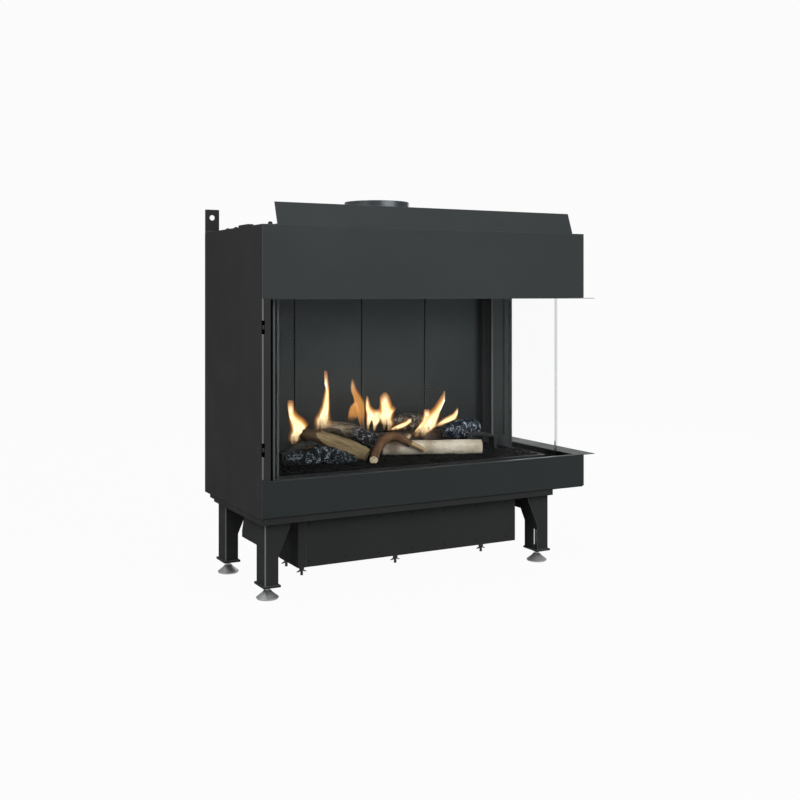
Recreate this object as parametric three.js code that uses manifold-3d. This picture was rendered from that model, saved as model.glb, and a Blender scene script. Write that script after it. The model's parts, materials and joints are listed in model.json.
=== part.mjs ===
// Corner gas fireplace for building in, glazed at the front and at its right side.
// X runs to the right, Y to the back and Z up, in millimetres. The origin is under the middle of the
// part, on the floor.
import * as THREE from 'three';
import { mergeVertices } from 'three/addons/utils/BufferGeometryUtils.js';
import Module from 'manifold-3d';

const wasm = await Module();
wasm.setup();

// Casing
const casingWidth = 820;
const casingDepth = 370;
const casingSheet = 2;
const sideFoot = 172;
const panelFoot = 175;
const hearthLevel = 250;
const soffitLevel = 625;
const headerTop = 778;
const headerFlange = 58;
const panelFlange = 18;
const stileWidth = 18;
const seamRise = 4.6;
const fit = 0.3;
const overrun = 5;

// Plates that stand out past the right side, at the hearth and under the header
const plateSheet = 1.5;
const plateReach = 33;
const hearthLip = 12;
const hearthLedge = 54;

// Flap on the header
const flapInset = 34;
const flapEndMargin = 32;
const flapRise = 48;
const flapLean = 18;
const flapFoot = 28;

// Glass
const glassThickness = 4;
const glassSetback = 29;
const glassInset = 35.5;
const glassCornerMargin = 56.5;
const glassFoot = 240;
const glassTop = 645;
const sideGlassBackRoom = 120;

// Channel, rails and post that hold the glass
const holderSheet = 1.5;
const holderDip = 6;
const channelLip = 5.5;
const channelBackLip = 17.5;
const channelBackGap = 3.5;
const postInnerLength = 79;
const postOuterLead = 5;
const postLip = 6.5;
const postSeamStart = 20;
const postSeamWidth = 7;
const postSeamFoot = 24;
const postSeamTop = 7;

// Firebox
const fireboxInset = 20;
const linerThickness = 6;
const linerBackRoom = 69;
const linerGroove = 4;
const linerCount = 4;
const linerStart = 19.5;
const linerEndMargin = 90.5;
const linerDrop = 10;
const fireboxFloorLevel = 206;
const hoodLevel = 700;
const hoodSkirt = 68;
const hoodGap = 1.3;

// Grille
const grilleInset = 31;
const grilleEndMargin = 85;
const grilleSetback = 42;
const grilleBackGap = 5;
const grilleSheet = 3;
const grilleRim = 14;
const grilleSlot = 7;
const grilleRows = 14;
const grilleBridge = 12;
const grilleColumns = 4;

// Burner and pilot
const burnerInset = 130;
const burnerEndMargin = 200;
const burnerSetback = 95;
const burnerBackGap = 66;
const burnerHeight = 24;
const burnerFootHeight = 8;
const burnerFootWidth = 20;
const burnerWall = 2;
const burnerPort = 5;
const burnerPortLength = 110;
const burnerPortPitch = 30;
const burnerPipe = 12;
const burnerPipeWall = 1.5;
const pilotGap = 20;
const pilotBackGap = 91;
const pilotFoot = 24;
const pilotSheet = 2;
const pilotHeight = 34;
const pilotTube = 7;
const pilotHead = 11;
const pilotHeadHeight = 9;

// Andirons
const andironDepth = 25;
const andironLead = 36.4;
const andironBar = 8;
const andironFoot = 8;
const leftAndironInset = 108;
const leftAndironLength = 97;
const leftAndironRun = 64;
const leftAndironLow = 30;
const leftAndironHigh = 52;
const rightAndironMargin = 229;
const rightAndironLength = 85;
const rightAndironRun = 45;
const rightAndironLow = 36;
const rightAndironHigh = 47;

// Logs and charcoal, each with its radii along its length
const logSides = 12;
const logSettle = 2;
const birchRadii = [17.5, 18.5, 18.5, 18.5, 18];
const rearRadii = [24, 27, 26, 27, 26];
const charredRadii = [17, 19, 20, 20, 17];
const splitRadii = [13, 17, 22, 22, 17];
const splitFlat = 8;
const branchRadii = [9, 10, 9, 6.5, 5.5];
const armRadii = [8, 9, 9, 9, 9];
const greyRadii = [15, 21, 22, 21, 15];
const frontCharcoalRadii = [10, 20, 23, 22, 12];
const rightCharcoalRadii = [10, 20, 25, 24, 12];
const charredLift = 64;
const charredDrop = 17;
const splitLift = 68;
const branchLift = 58;
const branchTipLift = 18;
const armLift = 54;
const rightCharcoalLift = 48;
const rightCharcoalRise = 8;

// Flue
const flueInset = 359;
const flueBackRoom = 52;
const flueRise = 70.5;
const flueOuter = 152;
const flueInner = 100;
const flueWall = 1.5;
const flueInnerStep = 6;
const flueFlange = 16;
const flueSides = 36;

// Relief lid on the hood
const reliefFlueGap = 30;
const reliefEndMargin = 170;
const reliefSetback = 92;
const reliefBackGap = 77.3;
const reliefLap = 12;
const reliefBarrel = 5;
const reliefPin = 2.2;
const reliefEar = 3;
const reliefEarGap = 0.5;
const reliefAxisRise = 6;

// Top of the casing
const topRibInset = 8;
const topRibWidth = 14;
const topRibSetback = 108;
const topRibLength = 57;
const topRibHeight = 8;

// Wall brackets
const bracketWidth = 34;
const bracketRise = 54;
const bracketSheet = 3;
const bracketHole = 12.4;
const bracketHoleDrop = 19;
const bracketTongue = 60;

// Latches in the front left edge
const upperLatchHeight = 566;
const lowerLatchHeight = 315;
const latchPivot = 24;
const latchSlotHeight = 28;
const latchSlotWidth = 6;
const latchSlotDepth = 8;
const latchPlate = 3;
const latchHub = 7;
const latchPin = 2.8;
const latchNose = 4;
const latchRecess = 1.5;

// Base
const baseEndMargin = 89;
const baseInset = 3;
const baseRailDepth = 20;
const baseRailHeight = 13;
const rearRailDepth = 29;
const rearRailBackGap = 15;
const rearRailHeight = 15;
const baseOpeningMargin = 18;
const apronDrop = 7;
const apronStepGap = 65;
const apronBackGap = 37;

// Legs
const legInset = 12;
const legEndMargin = 94;
const legWidth = 30;
const legDepth = 48;
const legSheet = 2;
const frontLegStart = 17;
const rearLegRoom = 110;
const footPlateWidth = 38;
const footPlateDepth = 56;
const footPlateSheet = 4.5;
const footPlateTop = 31.5;
const gussetReach = 26;
const gussetFoot = 90;
const gussetTop = 150;
const flangeFootReach = 4;
const flangeKnee = 92;
const flangeReach = 50;
const skirtLength = 88;
const skirtFoot = 108;
const skirtShoulder = 122;
const skirtSlant = 15;
const slitStart = 4;
const slitWidth = 12;
const slitFoot = 36;
const slitTop = 78;

// Levelling feet
const footRadius = 24;
const footRimRadius = 22.5;
const footRimHeight = 3;
const footShoulderRadius = 19;
const footShoulderHeight = 7;
const footWaistRadius = 12;
const footWaistHeight = 12.5;
const footNeckRadius = 8;
const footNeckHeight = 17;
const footStemRadius = 5;
const footStemTop = 75;
const footNutRadius = 7.5;
const footNutHeight = 6;
const footSides = 24;

// Control box under the base
const boxInset = 92;
const boxEndMargin = 178;
const boxSetback = 30;
const boxBackRoom = 105;
const boxFoot = 57;
const boxSheet = 1.5;
const boxCornerStrip = 16;
const boxFrontRim = 14;
const hatchMargin = 20;
const hatchStart = 23;
const hatchEnd = 92;
const hatchEndGap = 96;
const coverMargin = 9;
const coverSetback = 6;
const coverDrop = 0.3;

// Wing screws of the cover
const screwInset = 14;
const screwHatchGap = 10;
const screwSetback = 15;
const screwRowPitch = 85;
const screwShank = 3;
const screwRise = 20;
const screwHub = 5.5;
const screwHubHeight = 5;
const screwWing = 12;
const screwWingSheet = 3;
const screwWingDrop = 10;
const screwWingRise = 3;
const screwHeight = 17;
const screwSides = 12;

// Gas valve with its inlet and knob
const valveEndGap = 142;
const valveLength = 120;
const valveBackGap = 50;
const valveDepth = 65;
const valveHeight = 60;
const valveAxisHeight = 30;
const valveCap = 22;
const valveCapHeight = 14;
const inletRadius = 10.5;
const inletBore = 7.5;
const inletReach = 25;
const knobRadius = 14;
const knobLength = 30;
const knobGrip = 4;
const knobGripDepth = 14;
const spindleRadius = 4;
const spindleLength = 8;
const pipeOffset = 25;

// Places that follow from the sizes above
const plateRight = casingWidth + plateReach;
const plateFoot = hearthLevel - plateSheet;
const soffitFoot = soffitLevel - plateSheet;
const headerFlangeFoot = headerTop - casingSheet;
const topPanelTop = headerFlangeFoot - fit;
const topPanelFoot = topPanelTop - casingSheet;
const insideLeft = casingSheet + fit;
const insideRight = casingWidth - casingSheet - fit;
const backPanelFace = casingDepth - casingSheet;
const insideBack = backPanelFace - fit;
const glassBack = glassSetback + glassThickness;
const glassCorner = casingWidth - glassCornerMargin;
const sideGlassFace = glassCorner - glassThickness;
const sideGlassStart = glassBack + fit;
const sideGlassEnd = casingDepth - sideGlassBackRoom;
const railFloor = glassFoot - fit;
const railTop = railFloor + holderDip;
const channelLeft = glassInset - fit - holderSheet;
const channelBackFace = glassBack + channelBackGap;
const holderInner = sideGlassFace - fit;
const holderFace = holderInner - holderSheet;
const holderOuter = glassCorner + fit;
const fireboxWallFront = channelBackFace + holderSheet + fit;
const linerFace = casingDepth - linerBackRoom;
const linerPitch = (casingWidth - linerEndMargin - linerStart) / linerCount;
const fireboxBackFace = linerFace + linerThickness + fit;
const postInnerStart = fireboxBackFace - fit - postInnerLength;
const postOuterStart = postInnerStart - postOuterLead;
const grilleWidth = casingWidth - grilleEndMargin - grilleInset;
const grilleDepth = linerFace - grilleBackGap - grilleSetback;
const burnerLength = casingWidth - burnerEndMargin - burnerInset;
const burnerDepth = linerFace - burnerBackGap - burnerSetback;
const pilotInset = casingWidth - burnerEndMargin + pilotGap;
const pilotSetback = linerFace - pilotBackGap;
const rightAndironInset = casingWidth - rightAndironMargin;
const flueSetback = (casingSheet + headerFlange + casingDepth - flueBackRoom) / 2;
const flueTop = headerTop + flueRise;
const reliefInset = flueInset + flueOuter / 2 + reliefFlueGap;
const reliefLength = casingWidth - reliefEndMargin - reliefInset;
const reliefDepth = fireboxBackFace - reliefBackGap - reliefSetback;
const fireboxFoot = panelFoot + fit;
const hoodFront = glassBack + hoodGap;
const skirtLevel = hoodLevel - hoodSkirt;
const bracketFoot = headerTop + fit;
const bracketTop = headerTop + bracketRise;
const rightReturnFace = fireboxBackFace + casingSheet + overrun + casingSheet;
const legRight = casingWidth - legEndMargin;
const rearLegStart = casingDepth - rearLegRoom;
const rearRailEnd = casingDepth - rearRailBackGap;
const rearRailStart = rearRailEnd - rearRailDepth;
const baseTop = panelFoot - casingSheet - fit;
const railFoot = baseTop - baseRailHeight;
const legTop = railFoot - fit;
const boxRight = casingWidth - boxEndMargin;
const boxBack = casingDepth - boxBackRoom;
const hatchRight = boxRight - hatchEndGap;
const screwPitch = (hatchRight + screwHatchGap - boxInset - screwInset) / 2;
const boxTop = baseTop;
const boxFloorTop = boxFoot + boxSheet;
const coverTop = boxFoot - coverDrop;
const coverFoot = coverTop - boxSheet;
const valveFoot = boxFloorTop + fit;
const valveAxis = valveFoot + valveAxisHeight;
const valveInset = boxRight - valveEndGap - valveLength;
const valveSetback = boxBack - valveBackGap - valveDepth;
const inletEnd = boxBack + inletReach;
const valveMiddle = valveInset + valveLength / 2;
const pipeX = valveMiddle + pipeOffset;
const pipeY = valveSetback + valveDepth / 2;
const burnerFoot = fireboxFloorLevel + fit + burnerFootHeight;
const burnerTop = burnerFoot + burnerHeight;

// Finishes
const finishes = {
  casing_paint: [0x3a3e3f, 0.55, 0.35],
  side_paint: [0x30302f, 0.6, 0.35],
  base_paint: [0x2b2c2b, 0.55, 0.35],
  liner_paint: [0x34383a, 0.75, 0.2],
  firebox_paint: [0x1c1d1d, 0.8, 0.2],
  glass: [0xdfe6e4, 0.05, 0],
  zinc_steel: [0xb9bbbd, 0.35, 0.9],
  flue_steel: [0x565b5d, 0.4, 0.7],
  burner_steel: [0x4a4a4a, 0.5, 0.8],
  valve_alloy: [0xa7a9a8, 0.45, 0.8],
  knob_plastic: [0x202020, 0.5, 0],
  birch_ceramic: [0xcfc3ab, 0.85, 0],
  bark_ceramic: [0x6b5236, 0.85, 0],
  charred_ceramic: [0x453d38, 0.9, 0],
  charcoal_ceramic: [0x232a33, 0.7, 0],
  grey_ceramic: [0x6d6862, 0.85, 0],
};

const materials = {};
for (const [slot, [color, roughness, metalness]] of Object.entries(finishes)) {
  materials[slot] = new THREE.MeshStandardMaterial({ color, roughness, metalness });
}
materials.glass.transparent = true;
materials.glass.opacity = 0.25;

// Solids
function solid(geometry) {
  const bare = geometry.clone();
  bare.deleteAttribute('normal');
  bare.deleteAttribute('uv');
  const merged = mergeVertices(bare);
  const vertProperties = new Float32Array(merged.attributes.position.array);
  const triVerts = new Uint32Array(merged.index.array);
  return new wasm.Manifold(new wasm.Mesh({ numProp: 3, vertProperties, triVerts }));
}

function join(first, ...others) {
  return others.reduce((sum, other) => sum.add(other), first);
}

function cut(first, ...others) {
  return others.reduce((rest, other) => rest.subtract(other), first);
}

// A block between two corners, whichever of them comes first
function slab([x0, x1], [y0, y1], [z0, z1]) {
  const block = new THREE.BoxGeometry(Math.abs(x1 - x0), Math.abs(y1 - y0), Math.abs(z1 - z0));
  block.translate((x0 + x1) / 2, (y0 + y1) / 2, (z0 + z1) / 2);
  return solid(block);
}

function extruded(points, from, to) {
  const shape = new THREE.Shape(points.map(([a, b]) => new THREE.Vector2(a, b)));
  const geometry = new THREE.ExtrudeGeometry(shape, { depth: Math.abs(to - from), bevelEnabled: false });
  geometry.translate(0, 0, Math.min(from, to));
  return geometry;
}

// Outlines seen from above, from the side and from the front
function alongZ(points, from, to) {
  return solid(extruded(points, from, to));
}

function alongX(points, from, to) {
  const turn = new THREE.Matrix4().makeBasis(
    new THREE.Vector3(0, 1, 0), new THREE.Vector3(0, 0, 1), new THREE.Vector3(1, 0, 0));
  return solid(extruded(points, from, to).applyMatrix4(turn));
}

function alongY(points, from, to) {
  const turn = new THREE.Matrix4().makeBasis(
    new THREE.Vector3(0, 0, 1), new THREE.Vector3(1, 0, 0), new THREE.Vector3(0, 1, 0));
  return solid(extruded(points.map(([x, z]) => [z, x]), from, to).applyMatrix4(turn));
}

function roundGeometry(radius, length, sides) {
  const geometry = new THREE.CylinderGeometry(radius, radius, length, sides);
  geometry.rotateX(Math.PI / 2);
  return geometry;
}

function uprightRod(radius, x, y, [z0, z1], sides) {
  return solid(roundGeometry(radius, z1 - z0, sides).translate(x, y, (z0 + z1) / 2));
}

function rodAlongX(radius, [x0, x1], y, z, sides) {
  const geometry = roundGeometry(radius, x1 - x0, sides).rotateY(Math.PI / 2);
  return solid(geometry.translate((x0 + x1) / 2, y, z));
}

function rodAlongY(radius, x, [y0, y1], z, sides) {
  const geometry = roundGeometry(radius, y1 - y0, sides).rotateX(Math.PI / 2);
  return solid(geometry.translate(x, (y0 + y1) / 2, z));
}

const fireplace = new THREE.Group();
fireplace.position.set(-plateRight / 2, -casingDepth / 2, 0);

function piece(name, slot, body, parent = fireplace) {
  const { vertProperties, triVerts } = body.getMesh();
  const geometry = new THREE.BufferGeometry();
  geometry.setAttribute('position', new THREE.BufferAttribute(vertProperties, 3));
  geometry.setIndex(new THREE.BufferAttribute(triVerts, 1));
  geometry.computeVertexNormals();
  const mesh = new THREE.Mesh(geometry, materials[slot]);
  mesh.name = name;
  parent.add(mesh);
  return mesh;
}

// Casing
function leftSidePanel() {
  const side = slab([0, casingSheet], [insideLeft, casingDepth], [sideFoot, headerTop]);
  const headerNotch = slab([-overrun, casingSheet + overrun], [0, headerFlange + casingSheet + fit],
    [headerFlangeFoot - fit, headerTop + overrun]);
  const stileFoot = hearthLevel + seamRise + fit;
  const stileTop = soffitLevel - fit;
  const corner = slab([0, casingSheet], [0, insideLeft + overrun], [stileFoot, stileTop]);
  const stile = slab([0, stileWidth], [0, casingSheet], [stileFoot, stileTop]);
  const stileEdge = slab([stileWidth - casingSheet, stileWidth], [0, hearthLip], [stileFoot, stileTop]);
  const cuts = [upperLatchHeight, lowerLatchHeight].flatMap((height) => [
    slab([-overrun, latchSlotWidth], [-overrun, latchSlotDepth],
      [height - latchSlotHeight / 2, height + latchSlotHeight / 2]),
    rodAlongX(latchPin + fit, [-overrun, insideLeft + overrun], latchPivot, height, screwSides),
  ]);
  return cut(join(side, corner, stile, stileEdge), headerNotch, ...cuts);
}

function latch(height) {
  const plateStart = insideLeft;
  const plateEnd = insideLeft + latchPlate;
  const pin = rodAlongX(latchPin, [0, plateEnd], latchPivot, height, screwSides);
  const hub = rodAlongX(latchHub, [plateStart, plateEnd], latchPivot, height, footSides);
  const nose = slab([plateStart, plateEnd], [latchRecess, latchPivot],
    [height - latchNose, height + latchNose]);
  return join(pin, hub, nose);
}

function backPanel() {
  const back = slab([insideLeft, casingWidth], [backPanelFace, casingDepth], [fireboxFoot, headerTop]);
  const sideFace = slab([casingWidth - casingSheet, casingWidth], [rightReturnFace, casingDepth],
    [hearthLevel + fit, soffitFoot - fit]);
  const returnFace = slab([holderOuter + holderSheet + fit, casingWidth],
    [rightReturnFace, rightReturnFace + casingSheet], [hearthLevel + fit, soffitFoot - fit]);
  const plateGap = slab([casingWidth - hearthLedge, casingWidth + overrun],
    [backPanelFace - overrun, casingDepth + overrun], [fireboxFoot - overrun, hearthLevel + fit]);
  const soffitGap = slab([insideRight - hearthLedge, casingWidth + overrun],
    [backPanelFace - overrun, casingDepth + overrun], [soffitFoot - fit, headerTop + overrun]);
  return cut(join(back, sideFace, returnFace), plateGap, soffitGap);
}

function topPanel() {
  const sheet = slab([insideLeft, insideRight], [insideLeft, backPanelFace - bracketSheet - 2 * fit],
    [topPanelFoot, topPanelTop]);
  const rib = slab([topRibInset, topRibInset + topRibWidth],
    [topRibSetback, topRibSetback + topRibLength], [topPanelFoot, topPanelTop + topRibHeight]);
  const hole = uprightRod(flueOuter / 2 - flueWall - fit, flueInset, flueSetback,
    [topPanelFoot - overrun, topPanelTop + overrun], flueSides);
  return cut(join(sheet, rib), hole);
}

function header() {
  const front = slab([0, casingWidth], [0, casingSheet], [soffitLevel, headerTop]);
  const frontTop = slab([0, casingWidth], [0, headerFlange + casingSheet], [headerFlangeFoot, headerTop]);
  const side = slab([casingWidth - casingSheet, casingWidth], [0, casingDepth],
    [soffitLevel, headerTop]);
  const sideTopFlange = slab([casingWidth - panelFlange, casingWidth],
    [0, backPanelFace - bracketSheet - 2 * fit], [headerFlangeFoot, headerTop]);
  return join(front, frontTop, side, sideTopFlange);
}

function headerFlap() {
  const foot = headerTop + fit;
  const tip = foot + flapRise;
  const front = casingSheet;
  const outline = [
    [front, foot],
    [front + flapFoot, foot],
    [front + flapFoot, foot + plateSheet],
    [front + 2 * plateSheet, foot + plateSheet],
    [front + flapLean + plateSheet, tip],
    [front + flapLean, tip],
  ];
  return alongX(outline, flapInset, casingWidth - flapEndMargin);
}

function hearthPlate() {
  const left = stileWidth + fit;
  const ledge = plateRight - hearthLedge;
  const outline = [
    [left, 0], [plateRight, 0], [plateRight, casingDepth],
    [ledge, casingDepth], [ledge, hearthLip], [left, hearthLip],
  ];
  return alongZ(outline, plateFoot, hearthLevel);
}

function soffitPlate() {
  const left = stileWidth + fit;
  const ledge = holderOuter + holderSheet + fit;
  const lip = glassSetback - fit - holderSheet - fit;
  const outline = [
    [left, 0], [plateRight, 0], [plateRight, casingDepth],
    [ledge, casingDepth], [ledge, lip], [left, lip],
  ];
  return alongZ(outline, soffitFoot, soffitLevel - fit);
}

function lowerPanel() {
  const top = plateFoot - fit;
  const front = slab([0, casingWidth], [0, casingSheet], [panelFoot, top]);
  const seam = slab([0, stileWidth], [0, casingSheet], [panelFoot, hearthLevel + seamRise]);
  const side = slab([casingWidth - casingSheet, casingWidth], [0, casingDepth], [panelFoot, top]);
  const frontFlange = slab([insideLeft, casingWidth], [0, panelFlange],
    [fireboxFoot, fireboxFoot + casingSheet]);
  const sideFlange = slab([casingWidth - panelFlange, casingWidth], [0, insideBack],
    [fireboxFoot, fireboxFoot + casingSheet]);
  return join(front, seam, side, frontFlange, sideFlange);
}

// Base with its floor sheet and rails
function baseFrame() {
  const floor = slab([insideLeft, insideRight], [insideLeft, insideBack],
    [baseTop, panelFoot - fit]);
  const frontRail = slab([insideLeft, casingWidth - baseEndMargin],
    [baseInset, baseInset + baseRailDepth], [railFoot, baseTop + fit]);
  const rearRail = slab([legInset + legSheet + fit, legRight - legSheet - fit],
    [rearRailStart, rearRailEnd], [baseTop - rearRailHeight, baseTop + fit]);
  const railStart = frontLegStart + legSheet + fit;
  const sideRails = [
    [legInset + legSheet + fit, legInset + legWidth - legSheet - fit],
    [legRight - legWidth + legSheet + fit, legRight - legSheet - fit],
  ].map((across) => slab(across, [railStart, rearRailStart + overrun], [railFoot, baseTop + fit]));
  const apron = (left, top) => alongX([
    [baseInset, railFoot], [casingDepth - apronStepGap, railFoot],
    [casingDepth - apronStepGap, sideFoot - apronDrop], [casingDepth - apronBackGap, sideFoot - apronDrop],
    [casingDepth - apronBackGap, top], [baseInset, top],
  ], left, insideLeft + casingSheet);
  const aprons = [apron(0, sideFoot - fit), apron(insideLeft, baseTop + fit)];
  const opening = slab([boxInset + baseOpeningMargin, boxRight - baseOpeningMargin],
    [boxSetback + baseOpeningMargin, boxBack - baseOpeningMargin],
    [baseTop - overrun, panelFoot + overrun]);
  return cut(join(floor, frontRail, rearRail, ...sideRails, ...aprons), opening);
}

// A leg is a channel that is open at the back. Inward is 1 for a left leg and -1 for a right one.
function leg(outer, inward, start, isFront) {
  const across = (distance) => outer + inward * distance;
  const end = start + legDepth;
  const web = alongY([
    [across(0), footPlateTop - overrun],
    [across(legWidth), footPlateTop - overrun],
    [across(legWidth), gussetFoot],
    [across(legWidth + gussetReach), gussetTop],
    [across(legWidth + gussetReach), legTop],
    [across(0), legTop],
  ], start, start + legSheet);
  const outerOutline = isFront
    ? [
      [start, footPlateTop - overrun], [end, footPlateTop - overrun], [end, skirtFoot],
      [end + skirtLength, skirtFoot], [end + skirtLength, skirtShoulder],
      [end + skirtLength - skirtSlant, legTop], [start, legTop],
    ]
    : [
      [start, footPlateTop - overrun], [end, footPlateTop - overrun], [end, legTop], [start, legTop],
    ];
  const innerOutline = isFront
    ? [
      [start, footPlateTop - overrun], [end + flangeFootReach, footPlateTop - overrun],
      [end + flangeFootReach, flangeKnee], [end + flangeReach, legTop], [start, legTop],
    ]
    : outerOutline;
  const outerFlange = alongX(outerOutline, across(0), across(legSheet));
  const innerFlange = alongX(innerOutline, across(legWidth - legSheet), across(legWidth));
  const middle = across(legWidth / 2);
  const centre = start + legDepth / 2;
  const plate = slab([middle - footPlateWidth / 2, middle + footPlateWidth / 2],
    [centre - footPlateDepth / 2, centre + footPlateDepth / 2],
    [footPlateTop - footPlateSheet, footPlateTop]);
  const hole = uprightRod(footStemRadius + fit, middle, centre,
    [footPlateTop - footPlateSheet - overrun, footPlateTop + overrun], footSides);
  const body = cut(join(web, outerFlange, innerFlange, plate), hole);
  const slit = slab([across(legWidth - legSheet - overrun), across(legWidth + overrun)],
    [start + slitStart, start + slitStart + slitWidth], [slitFoot, slitTop]);
  return isFront ? cut(body, slit) : body;
}

function levellingFoot(x, y) {
  const plateFootLevel = footPlateTop - footPlateSheet;
  const profile = [
    [0, 0], [footRimRadius, 0], [footRadius, footRimHeight],
    [footShoulderRadius, footShoulderHeight], [footWaistRadius, footWaistHeight],
    [footNeckRadius, footNeckHeight],
    [footStemRadius, footNeckHeight], [footStemRadius, footStemTop], [0, footStemTop],
  ];
  const lathe = new THREE.LatheGeometry(profile.map(([r, z]) => new THREE.Vector2(r, z)), footSides);
  const disc = solid(lathe.rotateX(Math.PI / 2).translate(x, y, 0));
  const nutSides = 6;
  const nut = uprightRod(footNutRadius, x, y,
    [plateFootLevel - fit - footNutHeight, plateFootLevel - fit], nutSides);
  return join(disc, nut);
}

// Glass and what holds it
function frontGlass() {
  return slab([glassInset, glassCorner], [glassSetback, glassBack], [glassFoot, glassTop]);
}

function sideGlass() {
  return slab([sideGlassFace, glassCorner], [sideGlassStart, sideGlassEnd], [glassFoot, glassTop]);
}

function leftGlassChannel() {
  const lipFace = glassSetback - fit - holderSheet;
  const back = channelBackFace + holderSheet;
  const web = channelLeft + holderSheet;
  const outline = [
    [channelLeft, lipFace], [channelLeft + channelLip, lipFace],
    [channelLeft + channelLip, lipFace + holderSheet], [web, lipFace + holderSheet],
    [web, channelBackFace], [channelLeft + channelBackLip, channelBackFace],
    [channelLeft + channelBackLip, back], [channelLeft, back],
  ];
  return alongZ(outline, railTop + fit, glassTop);
}

// Outline of a glass rail: across is measured from the glass's outer face, away from the room
function railOutline(across) {
  const outerLip = -fit - holderSheet;
  const innerFace = glassThickness + fit;
  return [
    [across(innerFace), fireboxFoot], [across(innerFace + holderSheet), fireboxFoot],
    [across(innerFace + holderSheet), railTop], [across(innerFace), railTop],
    [across(innerFace), railFloor], [across(-fit), railFloor], [across(-fit), railTop],
    [across(outerLip), railTop], [across(outerLip), railFloor - holderSheet],
    [across(innerFace), railFloor - holderSheet],
  ];
}

function frontGlassRail() {
  const outline = railOutline((distance) => glassSetback + distance);
  return alongX(outline, channelLeft, holderInner);
}

function sideGlassRail() {
  const outline = railOutline((distance) => glassCorner - distance);
  const start = sideGlassStart + holderSheet + fit;
  return alongY(outline, start, postOuterStart - fit);
}

function rearRightPost() {
  const foot = fireboxFoot;
  const top = skirtLevel - fit;
  const inner = slab([holderFace, holderInner], [postInnerStart, fireboxBackFace - fit],
    [foot, top]);
  const lip = slab([holderFace - postLip, holderInner], [linerFace - holderSheet, linerFace],
    [foot, top]);
  const webFace = sideGlassEnd + fit;
  const web = slab([holderFace, holderOuter + holderSheet], [webFace, webFace + holderSheet],
    [foot, soffitFoot - fit]);
  const outer = slab([holderOuter, holderOuter + holderSheet],
    [postOuterStart, rightReturnFace - fit], [foot, soffitFoot - fit]);
  const seamStart = postInnerStart + postSeamStart;
  const seam = slab([holderFace - overrun, holderInner + fit], [seamStart, seamStart + postSeamWidth],
    [hearthLevel + postSeamFoot, top - postSeamTop]);
  return join(cut(inner, seam), lip, web, outer);
}

// Firebox
function fireboxWall() {
  const top = hoodLevel - fit;
  const wallEnd = fireboxInset + casingSheet;
  const left = slab([fireboxInset, wallEnd], [fireboxWallFront, fireboxBackFace + casingSheet],
    [fireboxFoot, top]);
  const flange = slab([fireboxInset, channelLeft + channelBackLip],
    [fireboxWallFront, fireboxWallFront + casingSheet], [fireboxFoot, top]);
  const back = slab([fireboxInset, holderInner], [fireboxBackFace, fireboxBackFace + casingSheet],
    [fireboxFoot, top]);
  return join(left, flange, back);
}

function fireboxFloor() {
  const left = fireboxInset + casingSheet + fit;
  const right = holderFace - fit;
  const front = fireboxWallFront + casingSheet + fit;
  const back = fireboxBackFace - fit;
  const block = slab([left, right], [front, back], [fireboxFoot, fireboxFloorLevel]);
  const hollow = slab([left + casingSheet, right - casingSheet], [front + casingSheet, back - casingSheet],
    [fireboxFoot - overrun, fireboxFloorLevel - casingSheet]);
  const lipGap = slab([right - postLip - fit, right + overrun],
    [linerFace - holderSheet - fit, back + overrun], [fireboxFoot - overrun, fireboxFloorLevel + overrun]);
  const pipeHole = uprightRod(burnerPipe / 2 + fit, pipeX, pipeY,
    [fireboxFloorLevel - casingSheet - overrun, fireboxFloorLevel + overrun], footSides);
  return cut(block, hollow, lipGap, pipeHole);
}

function fireboxHood() {
  const back = fireboxBackFace + casingSheet;
  const top = hoodLevel + casingSheet;
  const ceiling = slab([fireboxInset, holderInner], [hoodFront, back], [hoodLevel, top]);
  const frontSkirt = slab([glassInset, holderInner], [hoodFront, hoodFront + holderSheet],
    [skirtLevel, top]);
  const sideSkirt = slab([holderFace, holderInner], [hoodFront, fireboxBackFace - fit],
    [skirtLevel, top]);
  const flueHole = uprightRod(flueInner / 2 - flueWall, flueInset, flueSetback,
    [hoodLevel - overrun, top + overrun], flueSides);
  const reliefHole = slab([reliefInset + reliefLap, reliefInset + reliefLength - reliefLap],
    [reliefSetback + reliefLap, reliefSetback + reliefDepth - reliefLap],
    [hoodLevel - overrun, top + overrun]);
  const axisY = reliefSetback + reliefDepth;
  const axisZ = top + reliefAxisRise;
  const ears = [reliefInset - reliefEarGap - reliefEar, reliefInset + reliefLength + reliefEarGap]
    .map((x) => cut(
      slab([x, x + reliefEar], [axisY - reliefBarrel, axisY + reliefBarrel],
        [hoodLevel, axisZ + reliefBarrel]),
      rodAlongX(reliefPin + fit, [x - overrun, x + reliefEar + overrun], axisY, axisZ, screwSides)));
  return join(cut(join(ceiling, frontSkirt, sideSkirt), flueHole, reliefHole), ...ears);
}

function reliefLid() {
  const foot = hoodLevel + casingSheet + fit;
  const axisY = reliefSetback + reliefDepth;
  const axisZ = hoodLevel + casingSheet + reliefAxisRise;
  const right = reliefInset + reliefLength;
  const plate = slab([reliefInset, right], [reliefSetback, axisY], [foot, foot + casingSheet]);
  const barrel = rodAlongX(reliefBarrel, [reliefInset, right], axisY, axisZ, screwSides);
  const pinReach = reliefEarGap + reliefEar;
  const pin = rodAlongX(reliefPin, [reliefInset - pinReach, right + pinReach], axisY, axisZ, screwSides);
  return join(plate, barrel, pin);
}

function backLiner(index) {
  const left = Math.max(linerStart + index * linerPitch + linerGroove / 2,
    fireboxInset + casingSheet + fit);
  const right = linerStart + (index + 1) * linerPitch - linerGroove / 2;
  return slab([left, right], [linerFace, linerFace + linerThickness],
    [fireboxFloorLevel + fit, hoodLevel - linerDrop]);
}

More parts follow.
